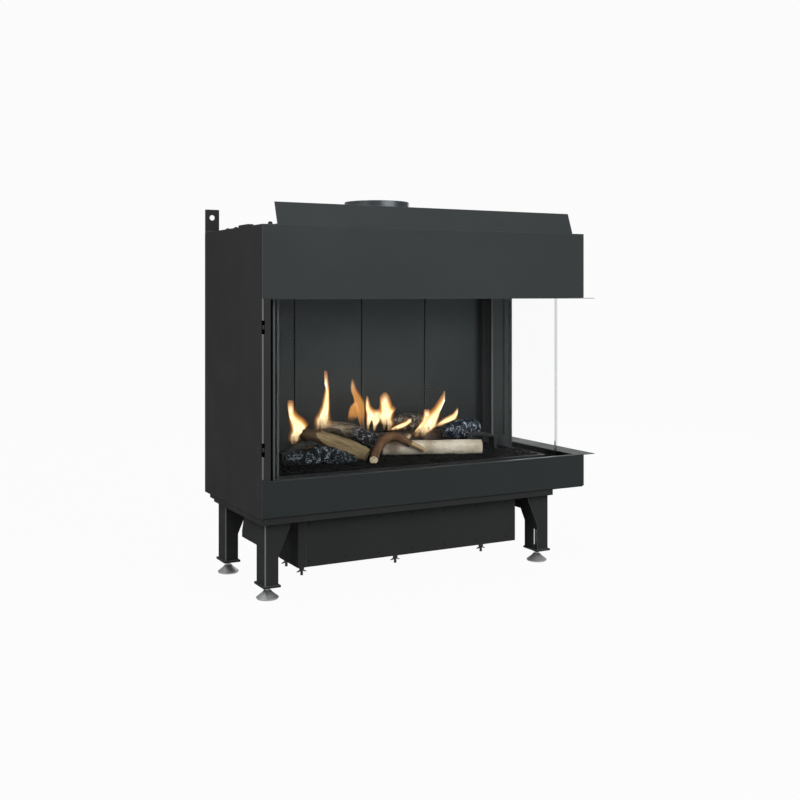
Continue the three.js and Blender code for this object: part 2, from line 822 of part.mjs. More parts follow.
function leftLiner() {
  const left = fireboxInset + casingSheet + fit;
  return slab([left, left + linerThickness], [fireboxWallFront + casingSheet + fit, linerFace - fit],
    [fireboxFloorLevel + fit, hoodLevel - linerDrop]);
}

// Grille, burner and pilot
function floorGrille() {
  const right = grilleInset + grilleWidth;
  const back = grilleSetback + grilleDepth;
  const block = slab([grilleInset, right], [grilleSetback, back], [fireboxFloorLevel + fit, hearthLevel]);
  const hollow = slab([grilleInset + grilleSheet, right - grilleSheet],
    [grilleSetback + grilleSheet, back - grilleSheet],
    [fireboxFloorLevel - overrun, hearthLevel - grilleSheet]);
  const rowPitch = (grilleDepth - 2 * grilleRim) / grilleRows;
  const slotLength = (grilleWidth - 2 * grilleRim - (grilleColumns - 1) * grilleBridge) / grilleColumns;
  const slots = [];
  for (let row = 0; row < grilleRows; row += 1) {
    for (let column = 0; column < grilleColumns; column += 1) {
      const x = grilleInset + grilleRim + column * (slotLength + grilleBridge);
      const y = grilleSetback + grilleRim + (row + 1 / 2) * rowPitch;
      slots.push(slab([x, x + slotLength], [y - grilleSlot / 2, y + grilleSlot / 2],
        [hearthLevel - grilleSheet - overrun, hearthLevel + overrun]));
    }
  }
  return cut(block, hollow, ...slots);
}

function burner() {
  const right = burnerInset + burnerLength;
  const back = burnerSetback + burnerDepth;
  const tray = cut(
    slab([burnerInset, right], [burnerSetback, back], [burnerFoot, burnerTop]),
    slab([burnerInset + burnerWall, right - burnerWall], [burnerSetback + burnerWall, back - burnerWall],
      [burnerFoot + burnerWall, burnerTop - burnerWall]));
  const feet = [burnerInset, right - burnerFootWidth].map((x) => slab([x, x + burnerFootWidth],
    [burnerSetback, back], [burnerFoot - burnerFootHeight, burnerFoot]));
  const portCount = Math.floor((burnerLength - burnerPortPitch) / burnerPortPitch);
  const portStart = (burnerLength - (portCount - 1) * burnerPortPitch) / 2;
  const ports = Array.from({ length: portCount }, (_, index) => {
    const x = burnerInset + portStart + index * burnerPortPitch;
    const y = (burnerSetback + back) / 2;
    return slab([x - burnerPort / 2, x + burnerPort / 2],
      [y - burnerPortLength / 2, y + burnerPortLength / 2],
      [burnerTop - burnerWall - fit, burnerTop + overrun]);
  });
  const pipeSpan = [valveFoot + valveHeight + fit, burnerFoot + burnerWall];
  const pipe = uprightRod(burnerPipe / 2, pipeX, pipeY, pipeSpan, footSides);
  const bore = uprightRod(burnerPipe / 2 - burnerPipeWall, pipeX, pipeY,
    [pipeSpan[0] - overrun, pipeSpan[1] + overrun], footSides);
  return cut(join(tray, ...feet, pipe), bore, ...ports);
}

function pilotAssembly() {
  const foot = fireboxFloorLevel + fit;
  const base = slab([pilotInset, pilotInset + pilotFoot], [pilotSetback, pilotSetback + pilotFoot],
    [foot, foot + pilotSheet]);
  const stem = slab([pilotInset, pilotInset + pilotFoot], [pilotSetback, pilotSetback + pilotSheet],
    [foot, foot + pilotHeight]);
  const y = pilotSetback + pilotFoot / 2;
  const x = pilotInset + pilotFoot / 2;
  const tube = uprightRod(pilotTube / 2, x, y, [foot, foot + pilotHeight], screwSides);
  const head = uprightRod(pilotHead / 2, x, y, [foot + pilotHeight - pilotHeadHeight, foot + pilotHeight],
    screwSides);
  const arm = slab([x - pilotSheet, x + pilotSheet], [pilotSetback, y],
    [foot + pilotHeight - pilotHeadHeight, foot + pilotHeight - pilotSheet]);
  return join(base, stem, tube, head, arm);
}

// Andirons: a bar that rises from its outer foot and comes down again at its inner one
function andiron(outer, inward, length, run, low, high) {
  const foot = hearthLevel + fit;
  const across = (distance) => outer + inward * distance;
  const outline = [
    [across(0), foot], [across(0), foot + low], [across(run), foot + high],
    [across(length), foot + high], [across(length), foot], [across(length - andironFoot), foot],
    [across(length - andironFoot), foot + high - andironBar], [across(run), foot + high - andironBar],
    [across(andironFoot), foot + low - andironBar / 2], [across(andironFoot), foot],
  ];
  return alongY(outline, andironSetback, andironSetback + andironDepth);
}

function rightAndiron() {
  return andiron(rightAndironInset + rightAndironLength, -1, rightAndironLength, rightAndironRun,
    rightAndironLow, rightAndironHigh);
}

function leftAndiron() {
  return andiron(leftAndironInset, 1, leftAndironLength, leftAndironRun, leftAndironLow,
    leftAndironHigh);
}

// Logs lie on the grille and on each other. Their ends are shares of the grille's width and depth, and
// a lift above the grille.
function onGrille([across, along], lift) {
  return new THREE.Vector3(grilleInset + across * grilleWidth, grilleSetback + along * grilleDepth,
    hearthLevel + lift);
}

function logBody({ from, to, radii, flat }, growth = 0) {
  const axis = new THREE.Vector3().subVectors(to, from);
  const length = axis.length() + 2 * growth;
  const points = radii.map((radius, index) => new THREE.Vector2(radius + growth,
    length * (index / (radii.length - 1) - 1 / 2)));
  points.unshift(new THREE.Vector2(0, -length / 2));
  points.push(new THREE.Vector2(0, length / 2));
  const lathe = new THREE.LatheGeometry(points, logSides);
  const up = new THREE.Vector3(0, 1, 0);
  axis.normalize();
  lathe.applyQuaternion(new THREE.Quaternion().setFromUnitVectors(up, axis));
  const middle = new THREE.Vector3().addVectors(from, to).multiplyScalar(1 / 2);
  const body = solid(lathe.translate(middle.x, middle.y, middle.z));
  return flat === undefined ? body : cut(body, splitSide(axis, middle, length, flat + growth));
}

// What is split off a log: a block beside its axis, towards the front and up
function splitSide(axis, middle, length, distance) {
  const facing = new THREE.Vector3(...splitFacingShares);
  facing.addScaledVector(axis, -facing.dot(axis)).normalize();
  const across = new THREE.Vector3().crossVectors(facing, axis);
  const block = new THREE.BoxGeometry(2 * length, 2 * length, 2 * length);
  block.translate(0, 0, length + distance);
  block.applyMatrix4(new THREE.Matrix4().makeBasis(axis, across, facing));
  return solid(block.translate(middle.x, middle.y, middle.z));
}

const birchFromShares = [0.507, 0.634];
const birchToShares = [0.822, 0.307];
const rearFromShares = [0.255, 0.815];
const rearToShares = [0.81, 0.8];
const charredFromShares = [0.272, 0.785];
const charredToShares = [0.461, 0.518];
const splitFromShares = [0.162, 0.575];
const splitToShares = [0.392, 0.345];
const branchFromShares = [0.476, 0.6];
const branchToShares = [0.602, 0.417];
const armFromShares = [0.496, 0.56];
const armToShares = [0.398, 0.244];
const greyFromShares = [0.57, 0.83];
const greyToShares = [0.71, 0.82];
const frontCharcoalFromShares = [0.1, 0.3];
const frontCharcoalToShares = [0.345, 0.335];
const rightCharcoalFromShares = [0.73, 0.6];
const rightCharcoalToShares = [0.88, 0.585];

// The andirons stand a little in front of the right charcoal's outer end
const andironSetback = grilleSetback + rightCharcoalFromShares[1] * grilleDepth - andironLead;

const splitFacingShares = [-0.2, -0.75, 0.63];

function largest(radii) {
  return Math.max(...radii);
}

// How high the axis of a log lies above what carries it
function resting(radii) {
  return largest(radii) - logSettle;
}

const onRearLog = resting(rearRadii) + largest(rearRadii);

const logs = {
  birch_log: {
    slot: 'birch_ceramic',
    parts: [{
      from: onGrille(birchFromShares, resting(birchRadii)),
      to: onGrille(birchToShares, resting(birchRadii)),
      radii: birchRadii,
    }],
  },
  rear_log: {
    slot: 'bark_ceramic',
    parts: [{
      from: onGrille(rearFromShares, resting(rearRadii)),
      to: onGrille(rearToShares, resting(rearRadii)),
      radii: rearRadii,
    }],
  },
  charcoal_front: {
    slot: 'charcoal_ceramic',
    parts: [{
      from: onGrille(frontCharcoalFromShares, resting(frontCharcoalRadii)),
      to: onGrille(frontCharcoalToShares, resting(frontCharcoalRadii)),
      radii: frontCharcoalRadii,
    }],
  },
  split_log: {
    slot: 'bark_ceramic',
    parts: [{
      from: onGrille(splitFromShares, splitLift),
      to: onGrille(splitToShares, splitRadii[splitRadii.length - 1] - logSettle),
      radii: splitRadii,
      flat: splitFlat,
    }],
  },
  charred_log: {
    slot: 'charred_ceramic',
    parts: [{
      from: onGrille(charredFromShares, charredLift),
      to: onGrille(charredToShares, charredLift - charredDrop),
      radii: charredRadii,
    }],
  },
  branch: {
    slot: 'bark_ceramic',
    parts: [{
      from: onGrille(branchFromShares, branchLift),
      to: onGrille(branchToShares, branchTipLift),
      radii: branchRadii,
    }, {
      from: onGrille(armFromShares, armLift),
      to: onGrille(armToShares, resting(armRadii)),
      radii: armRadii,
    }],
  },
  charcoal_right: {
    slot: 'charcoal_ceramic',
    parts: [{
      from: onGrille(rightCharcoalFromShares, rightCharcoalLift),
      to: onGrille(rightCharcoalToShares, rightCharcoalLift + rightCharcoalRise),
      radii: rightCharcoalRadii,
    }],
  },
  grey_log: {
    slot: 'grey_ceramic',
    parts: [{
      from: onGrille(greyFromShares, onRearLog + resting(greyRadii)),
      to: onGrille(greyToShares, onRearLog + resting(greyRadii)),
      radii: greyRadii,
    }],
  },
};

// Each log is cut by the andirons' and the lower logs' shapes, so that it rests on them
function andironEnvelopes() {
  const widen = (outer, length, high) => slab([outer - fit, outer + length + fit],
    [andironSetback - fit, andironSetback + andironDepth + fit],
    [hearthLevel, hearthLevel + fit + high + fit]);
  return [
    widen(leftAndironInset, leftAndironLength, leftAndironHigh),
    widen(rightAndironInset, rightAndironLength, rightAndironHigh),
  ];
}

function addLogs() {
  const below = [
    slab([grilleInset, grilleInset + grilleWidth], [grilleSetback, grilleSetback + grilleDepth],
      [fireboxFloorLevel, hearthLevel + fit]),
    ...andironEnvelopes(),
  ];
  for (const [name, { slot, parts }] of Object.entries(logs)) {
    const whole = join(...parts.map((part) => logBody(part)));
    piece(name, slot, cut(whole, ...below));
    below.push(...parts.map((part) => logBody(part, fit)));
  }
}

// Flue
function flueCollar(radius, foot, top) {
  const tube = uprightRod(radius, flueInset, flueSetback, [foot, top], flueSides);
  const flange = uprightRod(radius + flueFlange, flueInset, flueSetback, [foot, foot + flueWall], flueSides);
  const bore = uprightRod(radius - flueWall, flueInset, flueSetback, [foot - overrun, top + overrun],
    flueSides);
  return cut(join(tube, flange), bore);
}

// Wall brackets: a tongue inside the back panel, set back above it to be flush with the panel's face
function wallBracket(left) {
  const right = left + bracketWidth;
  const tongueFront = insideBack - bracketSheet;
  const inner = slab([Math.max(left, insideLeft), Math.min(right, insideRight)],
    [tongueFront, insideBack], [headerTop - bracketTongue, bracketFoot + bracketSheet]);
  const tab = slab([left, right], [casingDepth - bracketSheet, casingDepth], [bracketFoot, bracketTop]);
  const step = slab([left, right], [tongueFront, casingDepth], [bracketFoot, bracketFoot + bracketSheet]);
  const hole = rodAlongY(bracketHole / 2, left + bracketWidth / 2,
    [casingDepth - bracketSheet - overrun, casingDepth + overrun], bracketTop - bracketHoleDrop, footSides);
  return cut(join(inner, tab, step), hole);
}

// Control box
const screwPlaces = [
  [boxInset + screwInset, boxSetback + screwSetback],
  [boxInset + screwInset + screwPitch, boxSetback + screwSetback],
  [boxInset + screwInset + 2 * screwPitch, boxSetback + screwSetback],
  [boxInset + screwInset, boxSetback + screwSetback + screwRowPitch],
];

function screwHoles() {
  return screwPlaces.map(([x, y]) => uprightRod(screwShank + fit, x, y,
    [coverFoot - overrun, boxFloorTop + overrun], screwSides));
}

function controlBoxShell() {
  const frontFace = boxSetback + boxSheet + fit;
  const block = slab([boxInset, boxRight], [frontFace, boxBack], [boxFoot, boxTop]);
  const strip = slab([boxInset, boxInset + boxCornerStrip], [boxSetback, frontFace + boxSheet],
    [boxFoot, boxTop]);
  const hollow = slab([boxInset + boxSheet, boxRight - boxSheet], [frontFace + boxSheet, boxBack - boxSheet],
    [boxFloorTop, boxTop + overrun]);
  const window = slab([boxInset + boxCornerStrip + boxFrontRim, boxRight - boxFrontRim],
    [frontFace - overrun, frontFace + boxSheet + fit], [boxFloorTop + boxFrontRim, boxTop - boxFrontRim]);
  const hatch = slab([boxInset + hatchMargin, hatchRight],
    [boxSetback + hatchStart, boxSetback + hatchEnd], [boxFoot - overrun, boxFloorTop + fit]);
  const inletHole = rodAlongY(inletRadius + fit, valveMiddle,
    [boxBack - boxSheet - overrun, boxBack + overrun], valveAxis, footSides);
  return cut(join(block, strip), hollow, window, hatch, inletHole, ...screwHoles());
}

function controlBoxFront() {
  return slab([boxInset + boxCornerStrip + fit, boxRight], [boxSetback, boxSetback + boxSheet],
    [boxFoot, boxTop]);
}

function controlBoxCover() {
  const right = boxInset + screwInset + 2 * screwPitch + coverMargin;
  const back = boxSetback + screwSetback + screwRowPitch + coverMargin;
  return cut(slab([boxInset + boxSheet, right], [boxSetback + coverSetback, back], [coverFoot, coverTop]),
    ...screwHoles());
}

function wingScrew(x, y) {
  const headTop = coverFoot - fit;
  const shank = uprightRod(screwShank, x, y, [headTop - screwHeight, boxFloorTop + screwRise],
    screwSides);
  const hub = uprightRod(screwHub, x, y, [headTop - screwHubHeight, headTop], screwSides);
  const rise = screwWingRise;
  const bottom = headTop - screwWingDrop;
  const wings = alongY([
    [x - screwHub / 2, headTop - screwHubHeight], [x - screwWing, bottom],
    [x - screwWing + screwHub, bottom], [x, headTop - screwHubHeight - rise / 2],
    [x + screwWing - screwHub, bottom], [x + screwWing, bottom],
    [x + screwHub / 2, headTop - screwHubHeight], [x + screwHub / 2, headTop - rise / 2],
    [x - screwHub / 2, headTop - rise / 2],
  ], y - screwWingSheet / 2, y + screwWingSheet / 2);
  return join(shank, hub, wings);
}

function gasValve() {
  const right = valveInset + valveLength;
  const back = valveSetback + valveDepth;
  const top = valveFoot + valveHeight;
  const block = slab([valveInset, right], [valveSetback, back], [valveFoot, top]);
  const cap = uprightRod(valveCap, valveInset + valveCap + overrun, (valveSetback + back) / 2,
    [valveFoot, top + valveCapHeight], footSides);
  const inlet = rodAlongY(inletRadius, valveMiddle, [valveSetback + valveDepth / 2, inletEnd], valveAxis,
    footSides);
  const bore = rodAlongY(inletBore, valveMiddle, [back, inletEnd + overrun], valveAxis, footSides);
  const spindleHole = rodAlongY(spindleRadius + fit, valveMiddle,
    [valveSetback - overrun, valveSetback + spindleLength + fit], valveAxis, footSides);
  return cut(join(block, cap, inlet), bore, spindleHole);
}

function valveKnob() {
  const end = valveSetback - fit;
  const grip = rodAlongY(knobRadius, valveMiddle, [end - knobLength + knobGripDepth, end], valveAxis,
    footSides);
  const bar = slab([valveMiddle - knobGrip / 2, valveMiddle + knobGrip / 2], [end - knobLength, end],
    [valveAxis - knobRadius + overrun / 2, valveAxis + knobRadius - overrun / 2]);
  const spindle = rodAlongY(spindleRadius, valveMiddle, [end - overrun, valveSetback + spindleLength],
    valveAxis, footSides);
  return join(grip, bar, spindle);
}

// Assembly
piece('left_side_panel', 'side_paint', leftSidePanel());
piece('back_panel', 'side_paint', backPanel());
piece('top_panel', 'side_paint', topPanel());
piece('header', 'casing_paint', header());
piece('header_flap', 'casing_paint', headerFlap());
piece('soffit_plate', 'casing_paint', soffitPlate());
piece('hearth_plate', 'casing_paint', hearthPlate());
piece('lower_panel', 'casing_paint', lowerPanel());
piece('latch_upper', 'base_paint', latch(upperLatchHeight));
piece('latch_lower', 'base_paint', latch(lowerLatchHeight));

piece('base_frame', 'base_paint', baseFrame());
const corners = [
  ['front_left', legInset, 1, frontLegStart, true],
  ['front_right', legRight, -1, frontLegStart, true],
  ['rear_left', legInset, 1, rearLegStart, false],
  ['rear_right', legRight, -1, rearLegStart, false],
];
for (const [corner, outer, inward, start, isFront] of corners) {
  piece(`leg_${corner}`, 'base_paint', leg(outer, inward, start, isFront));
  piece(`levelling_foot_${corner}`, 'zinc_steel',
    levellingFoot(outer + inward * legWidth / 2, start + legDepth / 2));
}

piece('firebox_wall', 'firebox_paint', fireboxWall());
piece('firebox_floor', 'firebox_paint', fireboxFloor());
piece('firebox_hood', 'firebox_paint', fireboxHood());
piece('relief_lid', 'burner_steel', reliefLid());
for (let index = 0; index < linerCount; index += 1) {
  piece(`back_liner_${index + 1}`, 'liner_paint', backLiner(index));
}
piece('left_liner', 'liner_paint', leftLiner());

piece('front_glass', 'glass', frontGlass());
piece('side_glass', 'glass', sideGlass());
piece('left_glass_channel', 'base_paint', leftGlassChannel());
piece('front_glass_rail', 'firebox_paint', frontGlassRail());
piece('side_glass_rail', 'firebox_paint', sideGlassRail());
piece('rear_right_post', 'liner_paint', rearRightPost());

piece('floor_grille', 'firebox_paint', floorGrille());
piece('burner', 'burner_steel', burner());
piece('pilot_assembly', 'burner_steel', pilotAssembly());
piece('andiron_left', 'firebox_paint', leftAndiron());
piece('andiron_right', 'firebox_paint', rightAndiron());
addLogs();

const flueOuterFoot = topPanelTop + fit;
const flueInnerFoot = hoodLevel + casingSheet + fit;
piece('flue_outer', 'flue_steel', flueCollar(flueOuter / 2, flueOuterFoot, flueTop));
piece('flue_inner', 'flue_steel', flueCollar(flueInner / 2, flueInnerFoot, flueTop - flueInnerStep));
piece('wall_bracket_left', 'side_paint', wallBracket(0));
piece('wall_bracket_right', 'side_paint', wallBracket(casingWidth - bracketWidth));

piece('control_box_shell', 'base_paint', controlBoxShell());
piece('control_box_front', 'base_paint', controlBoxFront());
piece('control_box_cover', 'base_paint', controlBoxCover());
screwPlaces.forEach(([x, y], index) => piece(`wing_screw_${index + 1}`, 'zinc_steel', wingScrew(x, y)));
piece('gas_valve', 'valve_alloy', gasValve());
piece('valve_knob', 'knob_plastic', valveKnob());

export default fireplace;
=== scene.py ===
"""Looks of a corner gas fireplace for building in.

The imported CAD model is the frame. This script gives its sheets their finishes, models the ceramic logs,
the charcoal, the granules on the grille and the flames, and sets up the studio and the camera.
Everything is in metres: X to the right, Y to the back, Z up.
"""
import json
import math
import random

import bpy
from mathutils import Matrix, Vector, noise


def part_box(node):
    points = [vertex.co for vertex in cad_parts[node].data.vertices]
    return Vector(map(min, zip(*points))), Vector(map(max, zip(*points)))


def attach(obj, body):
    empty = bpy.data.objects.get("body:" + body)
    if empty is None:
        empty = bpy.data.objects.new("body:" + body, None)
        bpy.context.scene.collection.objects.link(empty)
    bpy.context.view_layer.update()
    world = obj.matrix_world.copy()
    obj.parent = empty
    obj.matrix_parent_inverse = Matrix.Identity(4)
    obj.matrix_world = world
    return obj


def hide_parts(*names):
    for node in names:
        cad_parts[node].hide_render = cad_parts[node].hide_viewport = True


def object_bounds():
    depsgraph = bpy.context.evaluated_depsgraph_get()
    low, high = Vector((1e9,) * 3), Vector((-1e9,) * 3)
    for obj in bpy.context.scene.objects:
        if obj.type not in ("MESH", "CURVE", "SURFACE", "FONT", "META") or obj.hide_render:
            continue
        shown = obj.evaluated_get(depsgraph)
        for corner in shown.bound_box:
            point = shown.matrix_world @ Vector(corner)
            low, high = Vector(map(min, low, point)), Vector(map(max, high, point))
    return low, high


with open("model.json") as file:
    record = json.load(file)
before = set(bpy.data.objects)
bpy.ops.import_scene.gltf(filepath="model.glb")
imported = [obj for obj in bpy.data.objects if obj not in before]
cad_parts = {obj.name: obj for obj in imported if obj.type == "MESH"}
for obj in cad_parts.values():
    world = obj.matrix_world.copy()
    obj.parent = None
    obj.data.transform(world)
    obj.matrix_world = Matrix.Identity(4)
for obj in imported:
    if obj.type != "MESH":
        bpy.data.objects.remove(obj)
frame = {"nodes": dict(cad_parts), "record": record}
cad_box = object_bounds()
nodes = frame["nodes"]
MM = 0.001
CORNERS = ("front_left", "front_right", "rear_left", "rear_right")

# Camera of the photograph
PHOTO_SIZE = 800
SENSOR_WIDTH = 36.0
LENS = 48.87
HORIZON_ROW = 293.69
YAW = math.radians(28.35)
EYE_FROM_CORNER = Vector((-0.805, -2.0831, 0.635))
FOCAL_PIXELS = LENS / SENSOR_WIDTH * PHOTO_SIZE

# Studio. A lamp has its place, its size and its power.
FLOOR_REACH = 6.0
FLOOR_WHITE = 0.5
FLOOR_GLOW = 0.96
BACKGROUND_WHITE = 0.967
WORLD_LIGHT = 0.36
KEY_LAMP = ((0.5, -2.1, 1.6), 1.8, 25)
FILL_LAMP = ((-1.6, -0.45, 1.75), 0.9, 11)
BACK_LAMP = ((1.5, 1.9, 1.7), 1.6, 18)

# Where things are, from the frame
grille_low, grille_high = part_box("floor_grille")
hearth_level = grille_high.z
corner = cad_box[0]
eye = corner + EYE_FROM_CORNER
forward = Vector((math.sin(YAW), math.cos(YAW), 0))
rightward = Vector((math.cos(YAW), -math.sin(YAW), 0))
upward = Vector((0, 0, 1))


def photo_point(column, row, depth):
    """Where the ray through a pixel of the photograph meets the upright plane at that depth."""
    ray = forward + rightward * ((column - PHOTO_SIZE / 2) / FOCAL_PIXELS)
    ray += upward * ((HORIZON_ROW - row) / FOCAL_PIXELS)
    return eye + ray * ((depth - eye.y) / ray.y)


def on_grille(across_share, along_share, lift):
    """A point over the grille, by shares of its width and depth and a lift in millimetres."""
    size = grille_high - grille_low
    return Vector((grille_low.x + across_share * size.x, grille_low.y + along_share * size.y,
                   hearth_level + lift * MM))


# Colours and shader nodes
def linear(red, green, blue):
    """A linear colour from the 0 to 255 values of a screen colour."""
    def channel(value):
        share = value / 255
        return share / 12.92 if share <= 0.04045 else ((share + 0.055) / 1.055) ** 2.4
    return (channel(red), channel(green), channel(blue), 1.0)


def blank_material(name):
    """A new material and its shader tree."""
    material = bpy.data.materials.new(name)
    material.use_nodes = True
    return material, material.node_tree


def set_all(target, settings):
    for key, value in settings.items():
        setattr(target, key, value)


def put(tree, socket, value):
    """Sets an input, or links it where the value is another node's output."""
    if isinstance(value, bpy.types.NodeSocket):
        tree.links.new(value, socket)
    else:
        socket.default_value = value


def add_node(tree, kind, inputs=None, output=0, **settings):
    """Adds a shader node with its input values, input links and settings, and gives back one output."""
    made = tree.nodes.new(kind)
    set_all(made, settings)
    for key, value in (inputs or {}).items():
        put(tree, made.inputs[key], value)
    return made.outputs[output]


def coordinates(tree, stretch=(1, 1, 1), on_log=False):
    """Object coordinates in metres, or those that follow a log, stretched along the axes."""
    if on_log:
        place = add_node(tree, "ShaderNodeAttribute", output="Vector", attribute_name="log_place")
    else:
        place = add_node(tree, "ShaderNodeTexCoord", output="Object")
    return add_node(tree, "ShaderNodeMapping", {"Vector": place, "Scale": stretch})


def noise_at(tree, scale, detail=4.0, rough=0.55, stretch=(1, 1, 1), distortion=0.0, on_log=False):
    return add_node(tree, "ShaderNodeTexNoise", {
        "Vector": coordinates(tree, stretch, on_log), "Scale": scale, "Detail": detail,
        "Roughness": rough, "Distortion": distortion}, "Fac")


def log_noise(tree, scale, detail, length_share=1, rough=0.55, distortion=0.0):
    """Noise that follows a log, drawn out along it."""
    return noise_at(tree, scale, detail, rough, (length_share, 1, 1), distortion, on_log=True)


def cell_edges(tree, scale, length_share):
    """The distance to the edges of cells that follow a log, drawn out along it."""
    place = coordinates(tree, (length_share, 1, 1), on_log=True)
    return add_node(tree, "ShaderNodeTexVoronoi", {"Vector": place, "Scale": scale}, "Distance",
                    feature="DISTANCE_TO_EDGE")


def place_along(tree, axis):
    """The object coordinate along one axis."""
    place = add_node(tree, "ShaderNodeTexCoord", output="Object")
    return add_node(tree, "ShaderNodeSeparateXYZ", {"Vector": place}, axis)


def length_along(tree):
    """The distance along the log, in metres."""
    return add_node(tree, "ShaderNodeSeparateXYZ", {"Vector": coordinates(tree, on_log=True)}, "X")


def ramp(tree, factor, *stops):
    """A colour ramp whose stops are (place, colour)."""
    colours = add_node(tree, "ShaderNodeValToRGB", {"Fac": factor}, "Color")
    elements = colours.node.color_ramp.elements
    while len(elements) < len(stops):
        elements.new(1.0)
    for element, (place, colour) in zip(elements, stops):
        element.position = place
        element.color = colour
    return colours


def levels(tree, factor, low, high, low_value=0.0, high_value=1.0):
    """The factor's range from low to high, spread from low_value to high_value."""
    return add_node(tree, "ShaderNodeMapRange", {
        "Value": factor, "From Min": low, "From Max": high, "To Min": low_value, "To Max": high_value},
        "Result")


def blend_colours(tree, factor, first, second, mode="MIX"):
    return add_node(tree, "ShaderNodeMixRGB", {"Fac": factor, "Color1": first, "Color2": second},
                    blend_type=mode)


def calculate(tree, operation, first, second=0.0):
    return add_node(tree, "ShaderNodeMath", {0: first, 1: second}, operation=operation)


def plus(tree, first, second):
    return calculate(tree, "ADD", first, second)


def times(tree, first, second):
    return calculate(tree, "MULTIPLY", first, second)


def within(tree, *tests):
    """One where every test of an axis, a comparison and a limit holds, and nought elsewhere."""
    share = 1.0
    for axis, comparison, limit in tests:
        share = times(tree, calculate(tree, comparison, place_along(tree, axis), limit), share)
    return share


def wobble_at(tree, reach):
    """Slow noise from nothing to that many millimetres."""
    return times(tree, noise_at(tree, 60.0), reach * MM)


def set_inputs(tree, values):
    """Sets or links inputs of the material's own shader."""
    for name, value in values.items():
        put(tree, tree.nodes["Principled BSDF"].inputs[name], value)


def finished(material, tone, roughness, gloss, relief, depth):
    """The material with its colour, roughness, gloss, and a relief of that many millimetres."""
    tree = material.node_tree
    bump = add_node(tree, "ShaderNodeBump", {"Height": relief, "Distance": depth * MM})
    set_inputs(tree, {"Base Color": tone, "Roughness": roughness, "Specular IOR Level": gloss,
                      "Normal": bump})
    return material


def own_shader(tree):
    return tree.nodes["Principled BSDF"].outputs["BSDF"]


def mix_shaders(tree, share, first, second):
    """The first shader where the share is nought, and the second where it is one."""
    return add_node(tree, "ShaderNodeMixShader", {0: share, 1: first, 2: second})


def show(tree, shader):
    """Shows this shader instead of the material's own one."""
    tree.links.new(shader, tree.nodes["Material Output"].inputs["Surface"])


def ray_is(tree, kind):
    """One for rays of that kind."""
    return add_node(tree, "ShaderNodeLightPath", output=f"Is {kind} Ray")


def straight_rays(tree):
    """One for rays that come straight from the camera or through glass."""
    return calculate(tree, "MAXIMUM", ray_is(tree, "Camera"), ray_is(tree, "Transmission"))


def shade(colour, factor):
    """The colour, lighter or darker by a factor."""
    return tuple(channel * factor for channel in colour[:3]) + (1.0,)


# Gloss of bare metal and plastic, and the depth of each surface's relief in millimetres
DEFAULT_GLOSS = 0.5
STEEL_BUMP = 0.03
PLASTIC_BUMP = 0.05
BIRCH_BUMP = 0.8
BARK_BUMP = 1.6
BRANCH_BUMP = 1.0
WOOD_BUMP = 0.5
CHARCOAL_BUMP = 2.0
GRANULE_BUMP = 0.8
BRAID_BUMP = 0.4

# Painted highlights along folds and painted shade on the sheets, in millimetres and shares
# The pale grey and the width of the highlight painted along a fold
FOLD_HIGHLIGHT_GREY = linear(130, 132, 132)
FOLD_HIGHLIGHT_WIDTH = 2.4
FOOT_PLATE_RIM = 4
FOOT_PLATE_SHEET = 5
LINER_END = "back_liner_4"
END_SHADE_REACH = (30, 14)
END_SHADE = 0.12
# Heights, depth and waviness of the painted shade low on the firebox walls
LOW_SHADE_HEIGHTS = (370, 560)
LOW_SHADE_FACTOR = 0.5
LOW_SHADE_WAVE = 60
LIP_SHADE = 0.36


def fold_highlight(tree, node):
    """One along the node's upright fold at its left front corner, above its foot plate, where the fold's
    highlight is painted.
    """
    rim = FOOT_PLATE_RIM if node.startswith("leg") else 0
    low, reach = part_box(node)[0], (rim + FOLD_HIGHLIGHT_WIDTH) * MM
    return within(tree, ("X", "LESS_THAN", low.x + reach), ("Y", "LESS_THAN", low.y + reach),
                  ("Z", "GREATER_THAN", low.z + FOOT_PLATE_SHEET * MM))


def right_end_shade(tree):
    """Painted shade in the corner at the right end of the back liners."""
    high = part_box(LINER_END)[1]
    outer, inner = (high.x - reach * MM for reach in END_SHADE_REACH)
    return levels(tree, place_along(tree, "X"), outer, inner, 1.0, END_SHADE)


def low_wall_shade(tree):
    """Painted shade on the firebox walls, deeper towards the fire bed, with an uneven upper edge."""
    wave = times(tree, noise_at(tree, 12.0, detail=3.0), LOW_SHADE_WAVE * MM)
    height = plus(tree, place_along(tree, "Z"), wave)
    low, high = (level * MM for level in LOW_SHADE_HEIGHTS)
    return levels(tree, height, low, high, LOW_SHADE_FACTOR, 1.0)


def back_lip_shade(tree):
    """Painted shade on the part of the glass channel that is behind the glass."""
    behind = within(tree, ("Y", "GREATER_THAN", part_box("front_glass")[1].y))
    return levels(tree, behind, 0.0, 1.0, 1.0, LIP_SHADE)


def painted_steel(name, colour, roughness=0.5, gloss=0.12, fold_highlight_node=None, shades=()):
    """Powder-coated sheet: slow patches of tone, a fine pebbled skin, and smudges in its gloss. A pale
    highlight is painted along the fold of the node it is given, and the given shades darken it with
    painted shade."""
    material, tree = blank_material(name)
    patches = noise_at(tree, 5.0, detail=3.0)
    tone = ramp(tree, patches, (0.3, shade(colour, 0.94)), (0.7, shade(colour, 1.06)))
    specks = levels(tree, noise_at(tree, 2600.0, detail=1.0), 0.3, 0.7, 0.96, 1.04)
    tone = blend_colours(tree, 1.0, tone, specks, "MULTIPLY")
    # The highlight painted along the fold
    if fold_highlight_node:
        tone = blend_colours(tree, fold_highlight(tree, fold_highlight_node), tone, FOLD_HIGHLIGHT_GREY)
    for darken in shades:
        tone = blend_colours(tree, 1.0, tone, darken(tree), "MULTIPLY")
    smudges = levels(tree, noise_at(tree, 14.0, detail=5.0), 0.3, 0.7, roughness - 0.06, roughness + 0.08)
    return finished(material, tone, smudges, gloss, noise_at(tree, 900.0, detail=2.0), STEEL_BUMP)


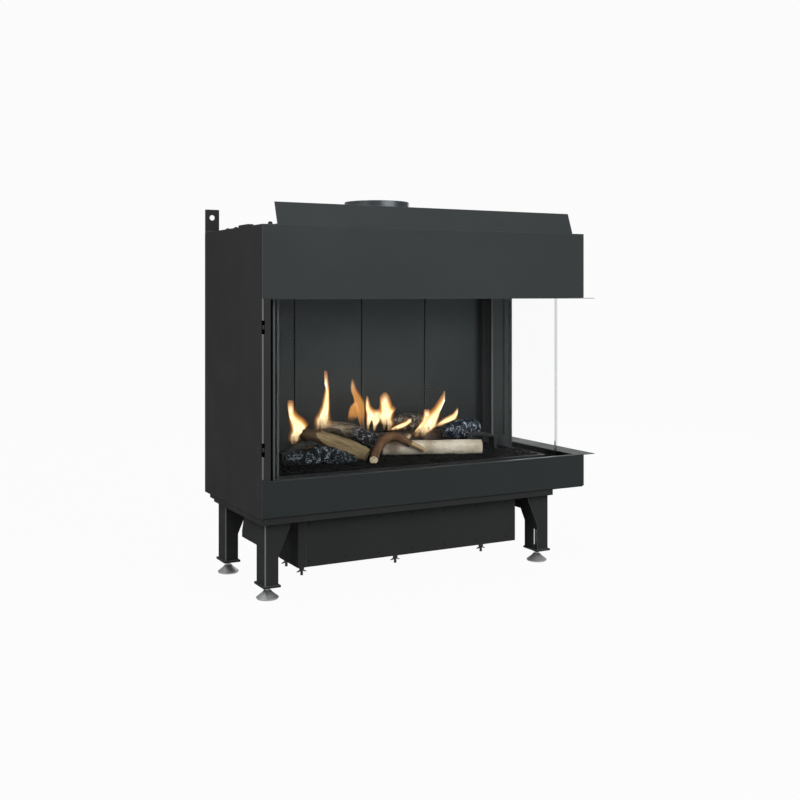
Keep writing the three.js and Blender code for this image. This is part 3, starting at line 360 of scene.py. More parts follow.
def metal(name, colour, roughness=0.32, brushed=(1, 1, 1), scale=400.0, metallic=1.0):
    """Bare metal with fine tooling marks along the direction that isn't stretched."""
    material, tree = blank_material(name)
    marks = noise_at(tree, scale, detail=3.0, stretch=brushed)
    stains = noise_at(tree, 30.0, detail=4.0)
    tone = ramp(tree, stains, (0.3, shade(colour, 0.85)), (0.7, shade(colour, 1.1)))
    worn = levels(tree, marks, 0.3, 0.7, roughness - 0.07, roughness + 0.1)
    set_inputs(tree, {"Metallic": metallic})
    return finished(material, tone, worn, DEFAULT_GLOSS, marks, STEEL_BUMP)


GLASS_CORNER_BORDER = 6.5
GLASS_CORNER_DEPTH = 8


def glass_seam(tree):
    """One at the bonded corner of the two panes."""
    low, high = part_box("front_glass")
    return within(tree, ("X", "GREATER_THAN", high.x - GLASS_CORNER_BORDER * MM),
                  ("Y", "LESS_THAN", low.y + GLASS_CORNER_DEPTH * MM))


def clear_glass(name):
    """Fireplace glass with a low-reflection coat. It lets the lamps' light through to the fire bed."""
    material, tree = blank_material(name)
    streaks = noise_at(tree, 9.0, detail=2.0)
    tint = ramp(tree, streaks, (0.3, (0.997, 0.999, 0.998, 1)), (0.7, (1.0, 1.0, 1.0, 1)))
    set_inputs(tree, {"Base Color": tint, "Transmission Weight": 1.0, "Roughness": 0.0, "IOR": 1.1})
    clear = add_node(tree, "ShaderNodeBsdfTransparent", {"Color": (0.98, 0.985, 0.985, 1)})
    pane = mix_shaders(tree, ray_is(tree, "Shadow"), own_shader(tree), clear)
    seam = add_node(tree, "ShaderNodeBsdfTransparent", {"Color": (0.87, 0.88, 0.88, 1)})
    show(tree, mix_shaders(tree, glass_seam(tree), pane, seam))
    return material


def moulded_plastic(name, colour):
    """Grained plastic, a little lighter on the tops of its grain."""
    material, tree = blank_material(name)
    grain = noise_at(tree, 1800.0, detail=2.0)
    tone = ramp(tree, grain, (0.3, shade(colour, 0.9)), (0.7, shade(colour, 1.15)))
    roughness = levels(tree, grain, 0.3, 0.7, 0.4, 0.55)
    return finished(material, tone, roughness, DEFAULT_GLOSS, grain, PLASTIC_BUMP)


# Finishes of the fire bed
BIRCH_KNOT = (24, -14, 4)
KNOT_REACH = (22, 42)
KNOT_RING_RATE = 1500
# Where along the birch log the branch's shadow is painted, and its reach
BIRCH_SHADOW_PLACE = 112
BIRCH_SHADOW_REACH = 18
BIRCH_WOBBLE = 30
CHAR_REACH = (90, 112)
CHAR_WOBBLE = 40


def birch_shadow_band(tree):
    """The share of the darker band round the birch log: the branch's shadow, painted."""
    place = plus(tree, length_along(tree), wobble_at(tree, BIRCH_WOBBLE))
    middle = (BIRCH_SHADOW_PLACE + BIRCH_WOBBLE / 2) * MM
    away = calculate(tree, "ABSOLUTE", calculate(tree, "SUBTRACT", place, middle))
    return levels(tree, away, 0.0, BIRCH_SHADOW_REACH * MM, 0.6, 0.0)


def birch_knot(tree):
    """The share and the ringed colour of the knot near the birch log's left end."""
    place = add_node(tree, "ShaderNodeVectorMath", {
        0: coordinates(tree, on_log=True), 1: Vector(BIRCH_KNOT) * MM}, "Value", operation="DISTANCE")
    rings = calculate(tree, "SINE", times(tree, place, KNOT_RING_RATE))
    colour = ramp(tree, rings, (0.0, linear(78, 64, 50)), (1.0, linear(132, 116, 94)))
    edge = plus(tree, place, wobble_at(tree, BIRCH_WOBBLE))
    inner, outer = (reach * MM for reach in KNOT_REACH)
    return levels(tree, edge, inner, outer, 0.9, 0.0), colour


def birch_bark():
    """Pale bark with fine grey-brown streaks, a brown knot at one end, and a darker band of painted shadow
    from the branch.
    """
    material, tree = blank_material("birch_bark")
    clouds = log_noise(tree, 42.0, 5.0, 0.4, rough=0.6)
    tone = ramp(tree, clouds, (0.3, linear(146, 136, 116)), (0.5, linear(184, 175, 156)),
                (0.72, linear(210, 203, 188)))
    streaks = log_noise(tree, 330.0, 3.0, 0.3)
    tone = blend_colours(tree, levels(tree, streaks, 0.55, 0.7, 0.0, 0.45), tone, linear(120, 106, 84))
    # A darker band round the log: the branch's painted shadow
    tone = blend_colours(tree, birch_shadow_band(tree), tone, linear(128, 112, 86))
    knot_share, knot_colour = birch_knot(tree)
    tone = blend_colours(tree, knot_share, tone, knot_colour)
    return finished(material, tone, 0.85, 0.2, plus(tree, clouds, streaks), BIRCH_BUMP)


def rough_bark(name, dark, light, depth=BARK_BUMP):
    """Furrowed bark: long ridges along the log with dark furrows."""
    material, tree = blank_material(name)
    furrows = log_noise(tree, 70.0, 6.0, 0.22, rough=0.65, distortion=0.4)
    grit = log_noise(tree, 500.0, 3.0, 0.5)
    tone = ramp(tree, furrows, (0.32, shade(dark, 0.45)), (0.46, dark), (0.68, light))
    tone = blend_colours(tree, 1.0, tone, levels(tree, grit, 0.3, 0.7, 0.75, 1.25), "MULTIPLY")
    return finished(material, tone, 0.88, 0.2, plus(tree, furrows, times(tree, grit, 0.2)), depth)


def split_wood(name, dark, light):
    """Split or sawn wood: fine growth lines along the face, and short dark pores."""
    material, tree = blank_material(name)
    lines = log_noise(tree, 210.0, 4.0, 0.07, rough=0.6, distortion=0.25)
    clouds = log_noise(tree, 34.0, 4.0, 0.35)
    tone = ramp(tree, clouds, (0.3, dark), (0.65, light))
    tone = blend_colours(tree, levels(tree, lines, 0.38, 0.6, 0.7, 0.0), tone, shade(dark, 0.55))
    pores = log_noise(tree, 300.0, 2.0, 0.2)
    tone = blend_colours(tree, levels(tree, pores, 0.62, 0.7, 0.0, 0.6), tone, shade(dark, 0.4))
    return finished(material, tone, 0.8, 0.25, lines, WOOD_BUMP)


def charred_bark():
    """Brown bark at one end of the log that turns to black char with pale ash flakes at the other."""
    material, tree = blank_material("charred_bark")
    place = plus(tree, length_along(tree), wobble_at(tree, CHAR_WOBBLE))
    burnt = levels(tree, place, *(reach * MM for reach in CHAR_REACH))
    furrows = log_noise(tree, 80.0, 6.0, 0.3, rough=0.65, distortion=0.5)
    bark = ramp(tree, furrows, (0.36, linear(30, 25, 21)), (0.48, linear(92, 80, 66)),
                (0.64, linear(154, 139, 117)))
    ash = cell_edges(tree, 300.0, 0.6)
    patchy = levels(tree, log_noise(tree, 110.0, 2.0), 0.45, 0.6, 0.25, 0.0)
    char = ramp(tree, plus(tree, ash, patchy), (0.03, linear(172, 172, 178)),
                (0.09, linear(84, 84, 90)), (0.17, linear(26, 25, 27)))
    tone = blend_colours(tree, burnt, bark, char)
    return finished(material, tone, 0.82, 0.25, plus(tree, furrows, ash), BARK_BUMP)


def charcoal(name, deep, flake, painted_glint):
    """Cracked charcoal: near-black faces with thin rims and a few painted glints."""
    material, tree = blank_material(name)
    warp = log_noise(tree, 90.0, 3.0)
    rims = cell_edges(tree, 250.0, 0.55)
    cracks = log_noise(tree, 160.0, 6.0, rough=0.75, distortion=1.2)
    uneven = times(tree, calculate(tree, "SUBTRACT", warp, 0.5), 0.7)
    mixed = calculate(tree, "SUBTRACT", times(tree, rims, 1.5), uneven)
    tone = ramp(tree, mixed, (0.0, painted_glint), (0.04, flake), (0.075, shade(deep, 1.6)), (0.13, deep))
    tone = blend_colours(tree, levels(tree, cracks, 0.5, 0.56), tone, shade(deep, 0.4))
    roughness = levels(tree, cracks, 0.35, 0.65, 0.8, 0.5)
    return finished(material, tone, roughness, 0.15, cracks, CHARCOAL_BUMP)


def black_granules():
    """Black mineral grains, from near black to dark grey."""
    material, tree = blank_material("black_granules")
    tint = noise_at(tree, 160.0, detail=3.0)
    tone = ramp(tree, tint, (0.35, linear(4, 5, 5)), (0.55, linear(9, 11, 10)),
                (0.72, linear(24, 24, 21)))
    roughness = levels(tree, tint, 0.3, 0.7, 0.7, 0.9)
    pits = add_node(tree, "ShaderNodeTexVoronoi", {"Vector": coordinates(tree), "Scale": 420.0},
                    "Distance")
    return finished(material, tone, roughness, 0.06, pits, GRANULE_BUMP)


def gasket_cord():
    """Braided black glass-fibre tape."""
    material, tree = blank_material("gasket_braid")
    braid = add_node(tree, "ShaderNodeTexWave", {
        "Vector": coordinates(tree), "Scale": 160.0, "Distortion": 1.0}, "Fac",
        wave_type="BANDS", bands_direction="DIAGONAL")
    tone = ramp(tree, braid, (0.2, linear(2, 2, 2)), (0.8, linear(12, 12, 12)))
    return finished(material, tone, 0.95, 0.1, braid, BRAID_BUMP)


def flame_glow(name, base, body, tip, alphas, strength):
    """Glowing gas: its colour and cover change with the height in the flame, broken by upright streaks."""
    material, tree = blank_material(name)
    rise = add_node(tree, "ShaderNodeAttribute", output="Fac", attribute_name="rise")
    streaks = noise_at(tree, 95.0, detail=3.0, stretch=(1.6, 1, 0.16), distortion=0.4)
    glow = ramp(tree, rise, (0.0, base), (0.35, body), (0.75, body), (1.0, tip))
    cover = ramp(tree, rise, *((place, (alpha,) * 3 + (1,)) for place, alpha in zip(
        (0.0, 0.16, 0.45, 1.0), alphas)))
    broken = levels(tree, plus(tree, streaks, times(tree, rise, 0.7)), 0.46, 0.74)
    set_inputs(tree, {"Alpha": times(tree, cover, broken), "Emission Color": glow,
                      "Emission Strength": strength, "Base Color": (0, 0, 0, 1), "Roughness": 1.0,
                      "Specular IOR Level": 0.0})
    return material


CASING_GREY = linear(60, 65, 66)
# The glass channel's paint is lighter than the casing's: painted light on its shaded lip
CHANNEL_PAINTED_LIGHT_GREY = linear(96, 101, 101)
SIDE_GREY = linear(60, 60, 60)
BASE_GREY = linear(56, 57, 57)
LINER_GREY = linear(60, 65, 66)
IRON_GREY = linear(38, 40, 41)
# How much lighter the rounded edges of the sheets are painted: a painted highlight
EDGE_HIGHLIGHT_TONE = 1.7
# The lower panel's paint is darker by this factor: painted shade, as the light comes from above
LOWER_PANEL_SHADE_TONE = 0.66
# The rear right post's paint is lighter by this factor: painted light where it stands in shade
POST_PAINTED_LIGHT_TONE = 4.2

# Paints: colour, roughness, gloss, the node whose fold gets a painted highlight, and the painted shade
# that darkens it
SLOT_PAINTS = {
    "casing_paint": (CASING_GREY, 0.5, 0.12),
    "side_paint": (SIDE_GREY, 0.65, 0.02),
    "base_paint": (BASE_GREY, 0.65, 0.02),
    "liner_paint": (LINER_GREY, 0.65, 0.12, None, (low_wall_shade,)),
    "firebox_paint": (IRON_GREY, 0.65, 0.12),
}
NODE_PAINTS = {
    "lower_panel": (shade(CASING_GREY, LOWER_PANEL_SHADE_TONE), 0.5),
    "rear_right_post": (shade(LINER_GREY, POST_PAINTED_LIGHT_TONE), 0.6),
    "left_side_panel": (*SLOT_PAINTS["side_paint"], "left_side_panel"),
    "leg_front_left": (*SLOT_PAINTS["base_paint"], "leg_front_left"),
    "leg_rear_left": (*SLOT_PAINTS["base_paint"], "leg_rear_left"),
    "left_glass_channel": (CHANNEL_PAINTED_LIGHT_GREY, 0.5, 0.12, None, (back_lip_shade,)),
    LINER_END: (LINER_GREY, 0.65, 0.12, None, (low_wall_shade, right_end_shade)),
}
slot_materials = {slot: painted_steel(slot, *paint) for slot, paint in SLOT_PAINTS.items()}
# Lighter paints for the rounded edges: painted highlights
edge_highlight_materials = {slot: painted_steel(f"{slot}_edge", shade(paint[0], EDGE_HIGHLIGHT_TONE), 0.45)
                  for slot, paint in SLOT_PAINTS.items()}
slot_materials.update({
    "glass": clear_glass("fire_glass"),
    "zinc_steel": metal("zinc_plate", linear(186, 188, 187), 0.42, metallic=0.5),
    "flue_steel": metal("flue_steel", linear(98, 103, 106), 0.3, brushed=(1, 1, 12), metallic=0.9),
    "burner_steel": metal("burner_steel", linear(92, 84, 78), 0.45, brushed=(0.1, 1, 1)),
    "valve_alloy": metal("cast_alloy", linear(176, 178, 178), 0.5, scale=900.0),
    "knob_plastic": moulded_plastic("knob_plastic", linear(34, 34, 35)),
})
node_materials = {node: painted_steel(f"{node}_paint", *paint) for node, paint in NODE_PAINTS.items()}
blackened_steel = metal("blackened_steel", linear(58, 60, 61), 0.4)
node_materials.update({f"wing_screw_{number}": blackened_steel for number in (1, 2, 3, 4)})
# The legs' rounded edges get a pale paint: a painted highlight
leg_edge_highlight = painted_steel("folded_edge_highlight", FOLD_HIGHLIGHT_GREY, 0.4)
node_edges = {f"leg_{place}": leg_edge_highlight for place in CORNERS}
node_edges["base_frame"] = painted_steel("gap_shadow", linear(8, 8, 8), 0.9, 0.0)
node_edges["lower_panel"] = node_materials["lower_panel"]

# Rounded edges, in millimetres
WELD_REACH = 0.01
SHEET_EDGE = 0.9
TURNED_EDGE = 0.5
FLAT_ANGLE = math.radians(1)
SHARP_ANGLE = math.radians(32)
PLAIN_EDGE_NODES = ("floor_grille", "front_glass", "side_glass")


def clear_normals(mesh):
    stored = mesh.attributes.get("custom_normal")
    if stored:
        mesh.attributes.remove(stored)


def modify(piece, kind, **settings):
    """Adds a modifier with these settings."""
    set_all(piece.modifiers.new(kind.lower(), kind), settings)


def split_sharp_edges(piece):
    modify(piece, "EDGE_SPLIT", split_angle=SHARP_ANGLE)


def dress_node(name, slot_name):
    """Gives a CAD node its finish. Its facets are joined into whole faces, so that its edges can be
    rounded a little and catch the light.
    Most sheets' rounded edges get a lighter paint, a painted highlight. The base frame's get the dark
    paint of a painted gap shadow."""
    if slot_name not in slot_materials:
        return
    piece = nodes[name]
    clear_normals(piece.data)
    piece.data.materials.clear()
    piece.data.materials.append(node_materials.get(name, slot_materials[slot_name]))
    width, edge_slot = TURNED_EDGE, -1
    if slot_name in edge_highlight_materials:
        piece.data.materials.append(node_edges.get(name, edge_highlight_materials[slot_name]))
        width, edge_slot = SHEET_EDGE, 1
    piece.data.polygons.foreach_set("use_smooth", [True] * len(piece.data.polygons))
    modify(piece, "WELD", merge_threshold=WELD_REACH * MM)
    modify(piece, "DECIMATE", decimate_type="DISSOLVE", angle_limit=FLAT_ANGLE)
    if name in PLAIN_EDGE_NODES:
        split_sharp_edges(piece)
    else:
        modify(piece, "BEVEL", width=width * MM, segments=2, limit_method="ANGLE",
               angle_limit=SHARP_ANGLE, harden_normals=True, material=edge_slot)


# Meshes
def place_object(name, data):
    """An object in the scene."""
    made = bpy.data.objects.new(name, data)
    bpy.context.scene.collection.objects.link(made)
    return made


def new_piece(name, vertices, faces, materials, face_slots=None, smooth=True):
    """A piece made of these points and faces, with its materials."""
    mesh = bpy.data.meshes.new(name)
    mesh.from_pydata([tuple(vertex) for vertex in vertices], [], faces)
    for material in materials:
        mesh.materials.append(material)
    if face_slots:
        mesh.polygons.foreach_set("material_index", face_slots)
    mesh.polygons.foreach_set("use_smooth", [smooth] * len(mesh.polygons))
    mesh.update()
    piece = place_object(name, mesh)
    return piece


def step_at(values, share):
    """The entry at or before a share of the way along a list, and how far the next one is reached."""
    place = share * (len(values) - 1)
    index = min(int(place), len(values) - 2)
    return index, place - index


def spread(values, share):
    """The value at a share of the way along a list, smoothly between its entries."""
    index, local = step_at(values, share)
    return values[index] + (values[index + 1] - values[index]) * (local * local * (3 - 2 * local))


def along_path(path, share):
    """The place at a share of the way along a smooth curve through the points."""
    index, local = step_at(path, share)
    before, after = path[max(index - 1, 0)], path[min(index + 2, len(path) - 1)]
    start, end = path[index], path[index + 1]
    return (start * 2 + (end - before) * local
            + (before * 2 - start * 5 + end * 4 - after) * local ** 2
            + (start * 3 - before - end * 3 + after) * local ** 3) / 2


def in_photo(rows):
    """Points from rows of a column, a row and the millimetres behind the casing's front."""
    return [photo_point(column, row, corner.y + behind * MM) for column, row, behind in rows]


def over_grille(ends):
    """Points from shares of the grille's width and depth, and millimetres over it."""
    return [on_grille(*end) for end in ends]


def set_attribute(piece, name, kind, values):
    """Stores a value for each point of the mesh, for its material to read."""
    attribute = piece.data.attributes.new(name, kind, "POINT")
    if kind == "FLOAT_VECTOR":
        attribute.data.foreach_set("vector", [part for value in values for part in value])
    else:
        attribute.data.foreach_set("value", values)


def turns(sides):
    """The angles of points spread evenly round a circle."""
    return [2 * math.pi * side / sides for side in range(sides)]


def band_faces(start, after, sides):
    """The faces between two rings of points that start at these indices."""
    return [(start + side, start + (side + 1) % sides, after + (side + 1) % sides, after + side)
            for side in range(sides)]


def tube_faces(first, rings, sides):
    """The faces of a tube whose rings of points follow one another."""
    return [corners for ring in range(rings)
            for corners in band_faces(first + ring * sides, first + (ring + 1) * sides, sides)]


def closed_tube(rings, sides):
    """The faces of a tube, and the two flat ones that close it."""
    last = rings * sides
    return tube_faces(0, rings, sides) + [tuple(range(sides))[::-1], tuple(range(last, last + sides))]


# Limbs. Sizes are in millimetres, and a rate is how fast a wave of noise changes.
LOG_CLEARANCE = 0.3
SPLIT_SHARE = 0.5
SPLIT_WAVE = 0.6
SPLIT_WAVE_RATES = (9, 0.25)
SPLIT_WAVE_SEED = 3
END_RELIEF = 1.2
END_RATE = 4
END_RING_SHARES = (0.66, 0.33)
END_LUMP_SHARE = 0.6
END_LUMP_RATE = 260
BARK_ROUND = 18
BARK_STRETCH = 0.3
BARK_FRACTAL = (1.0, 2.1, 4)
LUMP_ROUND = 20
LUMP_SEED_RATE = 7.3
CRACK_WIDTH_RATE = 4
CRACK_SHARE = 0.7
LUMP_SINK = 0.5


def limb_frame(points, ring):
    """The directions along a limb, across it and to its top, at one of its rings."""
    along = (points[min(ring + 1, len(points) - 1)] - points[max(ring - 1, 0)]).normalized()
    across = upward.cross(along).normalized()
    return along, across, along.cross(across)


def cut_to_split(offset, along, split, share, side):
    """The offset, drawn towards the split face where it stands beyond it, and whether it was."""
    facing = (split[0] - along * split[0].dot(along)).normalized()
    place = Vector((share * SPLIT_WAVE_RATES[0], side * SPLIT_WAVE_RATES[1], SPLIT_WAVE_SEED))
    limit = (spread(split[1], share) + SPLIT_WAVE * noise.noise(place)) * MM
    beyond = offset.dot(facing) - limit
    if beyond <= 0:
        return offset, False
    return offset - facing * beyond * SPLIT_SHARE, True


def limb(name, path, radii, relief, materials, rings=70, sides=44, split=None):
    """A limb along a path of points, its radii and the relief of its bark in millimetres. Split is the
    direction of a split face and its distances from the path. Nothing of it sinks into the grille."""
    points = [along_path(path, ring / rings) for ring in range(rings + 1)]
    mean_radius = sum(radii) / len(radii) * MM
    vertices, log_places, split_marks, alongs = [], [], [], []
    travelled = 0
    for ring, centre in enumerate(points):
        share = ring / rings
        along, across, top = limb_frame(points, ring)
        alongs.append(along)
        if ring:
            travelled += (centre - points[ring - 1]).length
        for side, angle in enumerate(turns(sides)):
            out = Vector((0, math.cos(angle), math.sin(angle)))
            radius = (spread(radii, share) + relief(travelled / MM, out)) * MM
            offset = (across * out.y + top * out.z) * radius
            is_split = False
            if split:
                offset, is_split = cut_to_split(offset, along, split, share, side)
            if ring in (0, rings):
                lump = noise.noise(Vector((out.y * END_RATE, out.z * END_RATE, ring)))
                offset += along * END_RELIEF * lump * MM
            vertices.append(centre + offset)
            log_places.append(Vector((travelled, out.y * mean_radius, out.z * mean_radius)))
            split_marks.append(is_split)
    faces = [corners[::-1] for corners in tube_faces(0, rings, sides)]
    face_slots = [int(all(split_marks[index] for index in corners)) for corners in faces]
    for ring, flip in ((0, False), (rings, True)):
        add_end(vertices, log_places, faces, ring * sides, sides, flip, alongs[ring] * END_RELIEF * MM)
    face_slots += [len(materials) - 1] * (len(faces) - len(face_slots))
    for vertex in vertices:
        vertex.z = max(vertex.z, hearth_level + LOG_CLEARANCE * MM)
    piece = new_piece(name, vertices, faces, materials, face_slots=face_slots)
    set_attribute(piece, "log_place", "FLOAT_VECTOR", log_places)
    split_sharp_edges(piece)
    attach(piece, "root")
    return piece


def add_end(vertices, log_places, faces, first, sides, flip, rough):
    """Closes the end of a limb with two rings and a middle point, a little uneven along rough."""
    rim = [Vector(vertices[first + side]) for side in range(sides)]
    rim_places = log_places[first:first + sides]
    middle, middle_place = sum(rim, Vector()) / sides, sum(rim_places, Vector()) / sides
    starts = [first]
    for share in END_RING_SHARES:
        starts.append(len(vertices))
        for rim_point, rim_place in zip(rim, rim_places):
            place = middle_place.lerp(rim_place, share)
            lump = noise.noise(Vector((place.y * END_LUMP_RATE, place.z * END_LUMP_RATE, first + share)))
            vertices.append(middle.lerp(rim_point, share) + rough * END_LUMP_SHARE * lump)
            log_places.append(place)
    closing = [corners for outer, inner in zip(starts, starts[1:])
               for corners in band_faces(outer, inner, sides)]
    hub = len(vertices)
    vertices.append(middle)
    log_places.append(middle_place)
    closing += [(starts[-1] + side, starts[-1] + (side + 1) % sides, hub) for side in range(sides)]
    faces += [corners[::-1] if flip else corners for corners in closing]


def bark_relief(depth, pitch, seed):
    """Swell of a bark with furrows of that depth and pitch, in millimetres."""
    def swell(along, out):
        place = Vector((along * BARK_STRETCH, out.y * BARK_ROUND, out.z * BARK_ROUND)) / pitch
        return depth * noise.fractal(place + upward * seed, *BARK_FRACTAL)
    return swell


def lump_relief(depth, pitch, seed):
    """Swell of broken charcoal: flat flakes at different heights, with cracks between them."""
    def swell(along, out):
        place = Vector((along, out.y * LUMP_ROUND, out.z * LUMP_ROUND)) / pitch
        distances, points = noise.voronoi(place + upward * seed)
        step = noise.noise(points[0] * LUMP_SEED_RATE)
        crack = min(1.0, (distances[1] - distances[0]) * CRACK_WIDTH_RATE)
        return depth * (step + CRACK_SHARE * crack - LUMP_SINK)
    return swell


# The fire bed. A path has rows of a column and a row of the photograph and the millimetres behind the
# casing's front. Ends are shares of the grille's width and depth, and millimetres over it.
BIRCH_ENDS = ((0.498, 0.643, 17), (0.816, 0.313, 17))
BIRCH_RADII = (16.5, 18.2, 18.0, 18.5, 17.8)
REAR_LOG_ENDS = ((0.255, 0.815, 25), (0.81, 0.8, 25))
REAR_LOG_RADII = (23.5, 26.0, 25.0, 26.0, 25.0)
SPLIT_LOG_PATH = ((302.4, 434.9, 180), (311.8, 435.9, 170), (332.5, 441.8, 160), (351.4, 448.9, 150),
                  (361.8, 453, 140), (366.9, 455, 131))
SPLIT_LOG_RADII = (12.5, 14.5, 17.5, 20, 18, 14)
SPLIT_FACING = Vector((-0.2, -0.8, 0.55))
SPLIT_DISTANCES = (16, 14.6, 2, 4, 3, 0)
CHARRED_LOG_PATH = ((320.4, 428, 241), (341.1, 429.2, 224), (351.4, 432, 207), (361.8, 436.5, 190),
                    (375.5, 442, 172))
CHARRED_LOG_RADII = (15.5, 17, 18, 18.6, 17.5)
BRANCH_PATH = ((373.7, 460.1, 104), (374.2, 457.4, 117), (376.4, 450.6, 130), (379.8, 444.6, 146),
               (384.5, 439.8, 162), (391, 436.8, 175), (398, 437.6, 175), (405, 440.8, 168),
               (411, 444.5, 160))
BRANCH_RADII = (9.2, 9.8, 10.4, 11, 11.5, 11, 10, 9.2, 8.5)
BRANCH_TIP_PATH = ((407, 441.5, 165), (424.2, 450.2, 148))
BRANCH_TIP_RADII = (7.2, 6.5, 5.6)
BRANCH_STUB_PATH = ((404.5, 440.5, 170), (409.5, 435.5, 176))
BRANCH_STUB_RADII = (6.5, 6, 5)
CHARCOAL_FRONT_PATH = ((285.1, 460.7, 118), (298, 458.2, 118), (311.8, 455.7, 118), (329, 455.2, 118),
                       (341.1, 457, 118), (351.4, 458.7, 118), (356.3, 459.9, 118))
CHARCOAL_FRONT_RADII = (9, 14.5, 18, 18.5, 14, 10, 5)
CHARCOAL_RIGHT_ENDS = ((0.73, 0.6, 47), (0.87, 0.585, 57))
CHARCOAL_RIGHT_RADII = (11, 20, 24, 22, 12)
GREY_LOG_ENDS = ((0.57, 0.83, 71), (0.71, 0.82, 71))
GREY_LOG_RADII = (13.5, 20, 21, 20, 13.5)
sawn_end = split_wood("sawn_end", linear(150, 128, 92), linear(196, 176, 136))


def make_birch():
    bark = birch_bark()
    piece = limb("birch_bark", over_grille(BIRCH_ENDS), BIRCH_RADII,
                 bark_relief(depth=0.9, pitch=18, seed=3), (bark, bark), rings=110)
    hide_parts("birch_log")


def make_rear_log():
    bark = rough_bark("rear_bark", linear(44, 37, 33), linear(86, 74, 64))
    piece = limb("rear_bark", over_grille(REAR_LOG_ENDS), REAR_LOG_RADII,
                 bark_relief(depth=1.6, pitch=14, seed=11), (bark, sawn_end), rings=110)
    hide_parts("rear_log")


def make_split_log():
    bark = rough_bark("split_log_bark", linear(54, 41, 26), linear(88, 68, 44))
    face = split_wood("split_face", linear(86, 73, 48), linear(138, 120, 84))
    piece = limb("split_log_bark", in_photo(SPLIT_LOG_PATH), SPLIT_LOG_RADII,
                 bark_relief(depth=0.8, pitch=12, seed=5), (bark, face), rings=100,
                 split=(SPLIT_FACING.normalized(), SPLIT_DISTANCES))
    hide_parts("split_log")


def make_charred_log():
    bark = charred_bark()
    piece = limb("charred_bark", in_photo(CHARRED_LOG_PATH), CHARRED_LOG_RADII,
                 bark_relief(depth=2.4, pitch=7, seed=8), (bark, bark), rings=100)
    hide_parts("charred_log")


def make_branch():
    """A bent branch with a peeled tip and the stub of a twig, both cut clean."""
    bark = rough_bark("branch_bark", linear(72, 50, 33), linear(106, 78, 53), BRANCH_BUMP)
    peeled = split_wood("branch_peeled", linear(132, 112, 80), linear(176, 154, 114))
    pale = split_wood("branch_cut", linear(196, 180, 144), linear(226, 212, 180))
    main = limb("branch_limb", in_photo(BRANCH_PATH), BRANCH_RADII,
                bark_relief(depth=0.6, pitch=9, seed=2), (bark, pale), rings=110, sides=32)
    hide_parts("branch")
    limb("branch_tip", in_photo(BRANCH_TIP_PATH), BRANCH_TIP_RADII,
         bark_relief(depth=0.3, pitch=9, seed=6), (peeled, pale), rings=30, sides=24)
    limb("branch_stub", in_photo(BRANCH_STUB_PATH), BRANCH_STUB_RADII,
         bark_relief(depth=0.4, pitch=6, seed=9), (peeled, pale), rings=16, sides=20)


def make_charcoal():
    """The charcoal at the front left and at the right, and the ashen lump at the back."""
    front = charcoal("charcoal_front", linear(2, 4, 5), linear(44, 60, 70), linear(156, 174, 186))
    piece = limb("charcoal_front_lump", in_photo(CHARCOAL_FRONT_PATH), CHARCOAL_FRONT_RADII,
                 lump_relief(depth=2.6, pitch=7, seed=1), (front, front),
                 rings=140, sides=60)
    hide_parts("charcoal_front")
    right = charcoal("charcoal_right", linear(16, 27, 40), linear(92, 116, 136), linear(204, 212, 216))
    piece = limb("charcoal_right_lump", over_grille(CHARCOAL_RIGHT_ENDS), CHARCOAL_RIGHT_RADII,
                 lump_relief(depth=3.2, pitch=8, seed=4), (right, right),
                 rings=90, sides=60)
    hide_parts("charcoal_right")
    ashen = charcoal("charcoal_ashen", linear(60, 55, 49), linear(124, 116, 103), linear(182, 174, 160))
    piece = limb("grey_lump", over_grille(GREY_LOG_ENDS), GREY_LOG_RADII,
                 lump_relief(depth=2.2, pitch=8, seed=7), (ashen, ashen),
                 rings=80, sides=52)
    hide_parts("grey_log")


# Granules on the grille, in millimetres and shares of a grain
BED_COLUMNS = 180
BED_ROWS = 70
BED_MARGIN = 8
BED_RISE = 3.2
BED_FRONT_MARGIN = 50
BED_SLOPE = 50
BED_LEAST = 0.5
BED_LUMP = 1.0
BED_LUMP_RATE = 160
BED_FRACTAL = (1.0, 2.0, 3)
BED_LEAST_TOP = 0.3
BED_UNDERSIDE = 0.1
GRANULE_COUNT = 6500
GRANULE_SEED = 21
GRANULE_SIZES = (1.2, 2.8)
GRANULE_LIFT_SHARE = 0.4
GRANULE_BASE_SHARE = -0.35
GRANULE_TILT = 0.4
GRANULE_TIP_SHARES = (0.3, 0.8)
bed_inset = Vector((BED_MARGIN, BED_MARGIN, 0)) * MM
bed_low, bed_high = grille_low + bed_inset, grille_high - bed_inset


def bed_height(x, y):
    """How high the granules lie over the grille, in millimetres: a low mound that thins out all round."""
    front_gap = y - grille_low.y - (BED_FRONT_MARGIN - BED_MARGIN) * MM
    gaps = (x - grille_low.x, grille_high.x - x, front_gap, grille_high.y - y)
    share = max(0.0, min(1.0, (min(gaps) / MM - BED_MARGIN) / BED_SLOPE))
    return BED_LEAST + BED_RISE * share * (2 - share)


def bed_point(row, column, is_top):
    """A point of the bed's lumpy top or of its flat underside."""
    x = bed_low.x + (bed_high.x - bed_low.x) * column / BED_COLUMNS
    y = bed_low.y + (bed_high.y - bed_low.y) * row / BED_ROWS
    if not is_top:
        return Vector((x, y, hearth_level + BED_UNDERSIDE * MM))
    on_rim = row in (0, BED_ROWS) or column in (0, BED_COLUMNS)
    lump = 0 if on_rim else BED_LUMP * noise.fractal(Vector((x, y, 0)) * BED_LUMP_RATE, *BED_FRACTAL)
    return Vector((x, y, hearth_level + max(BED_LEAST_TOP, bed_height(x, y) + lump) * MM))


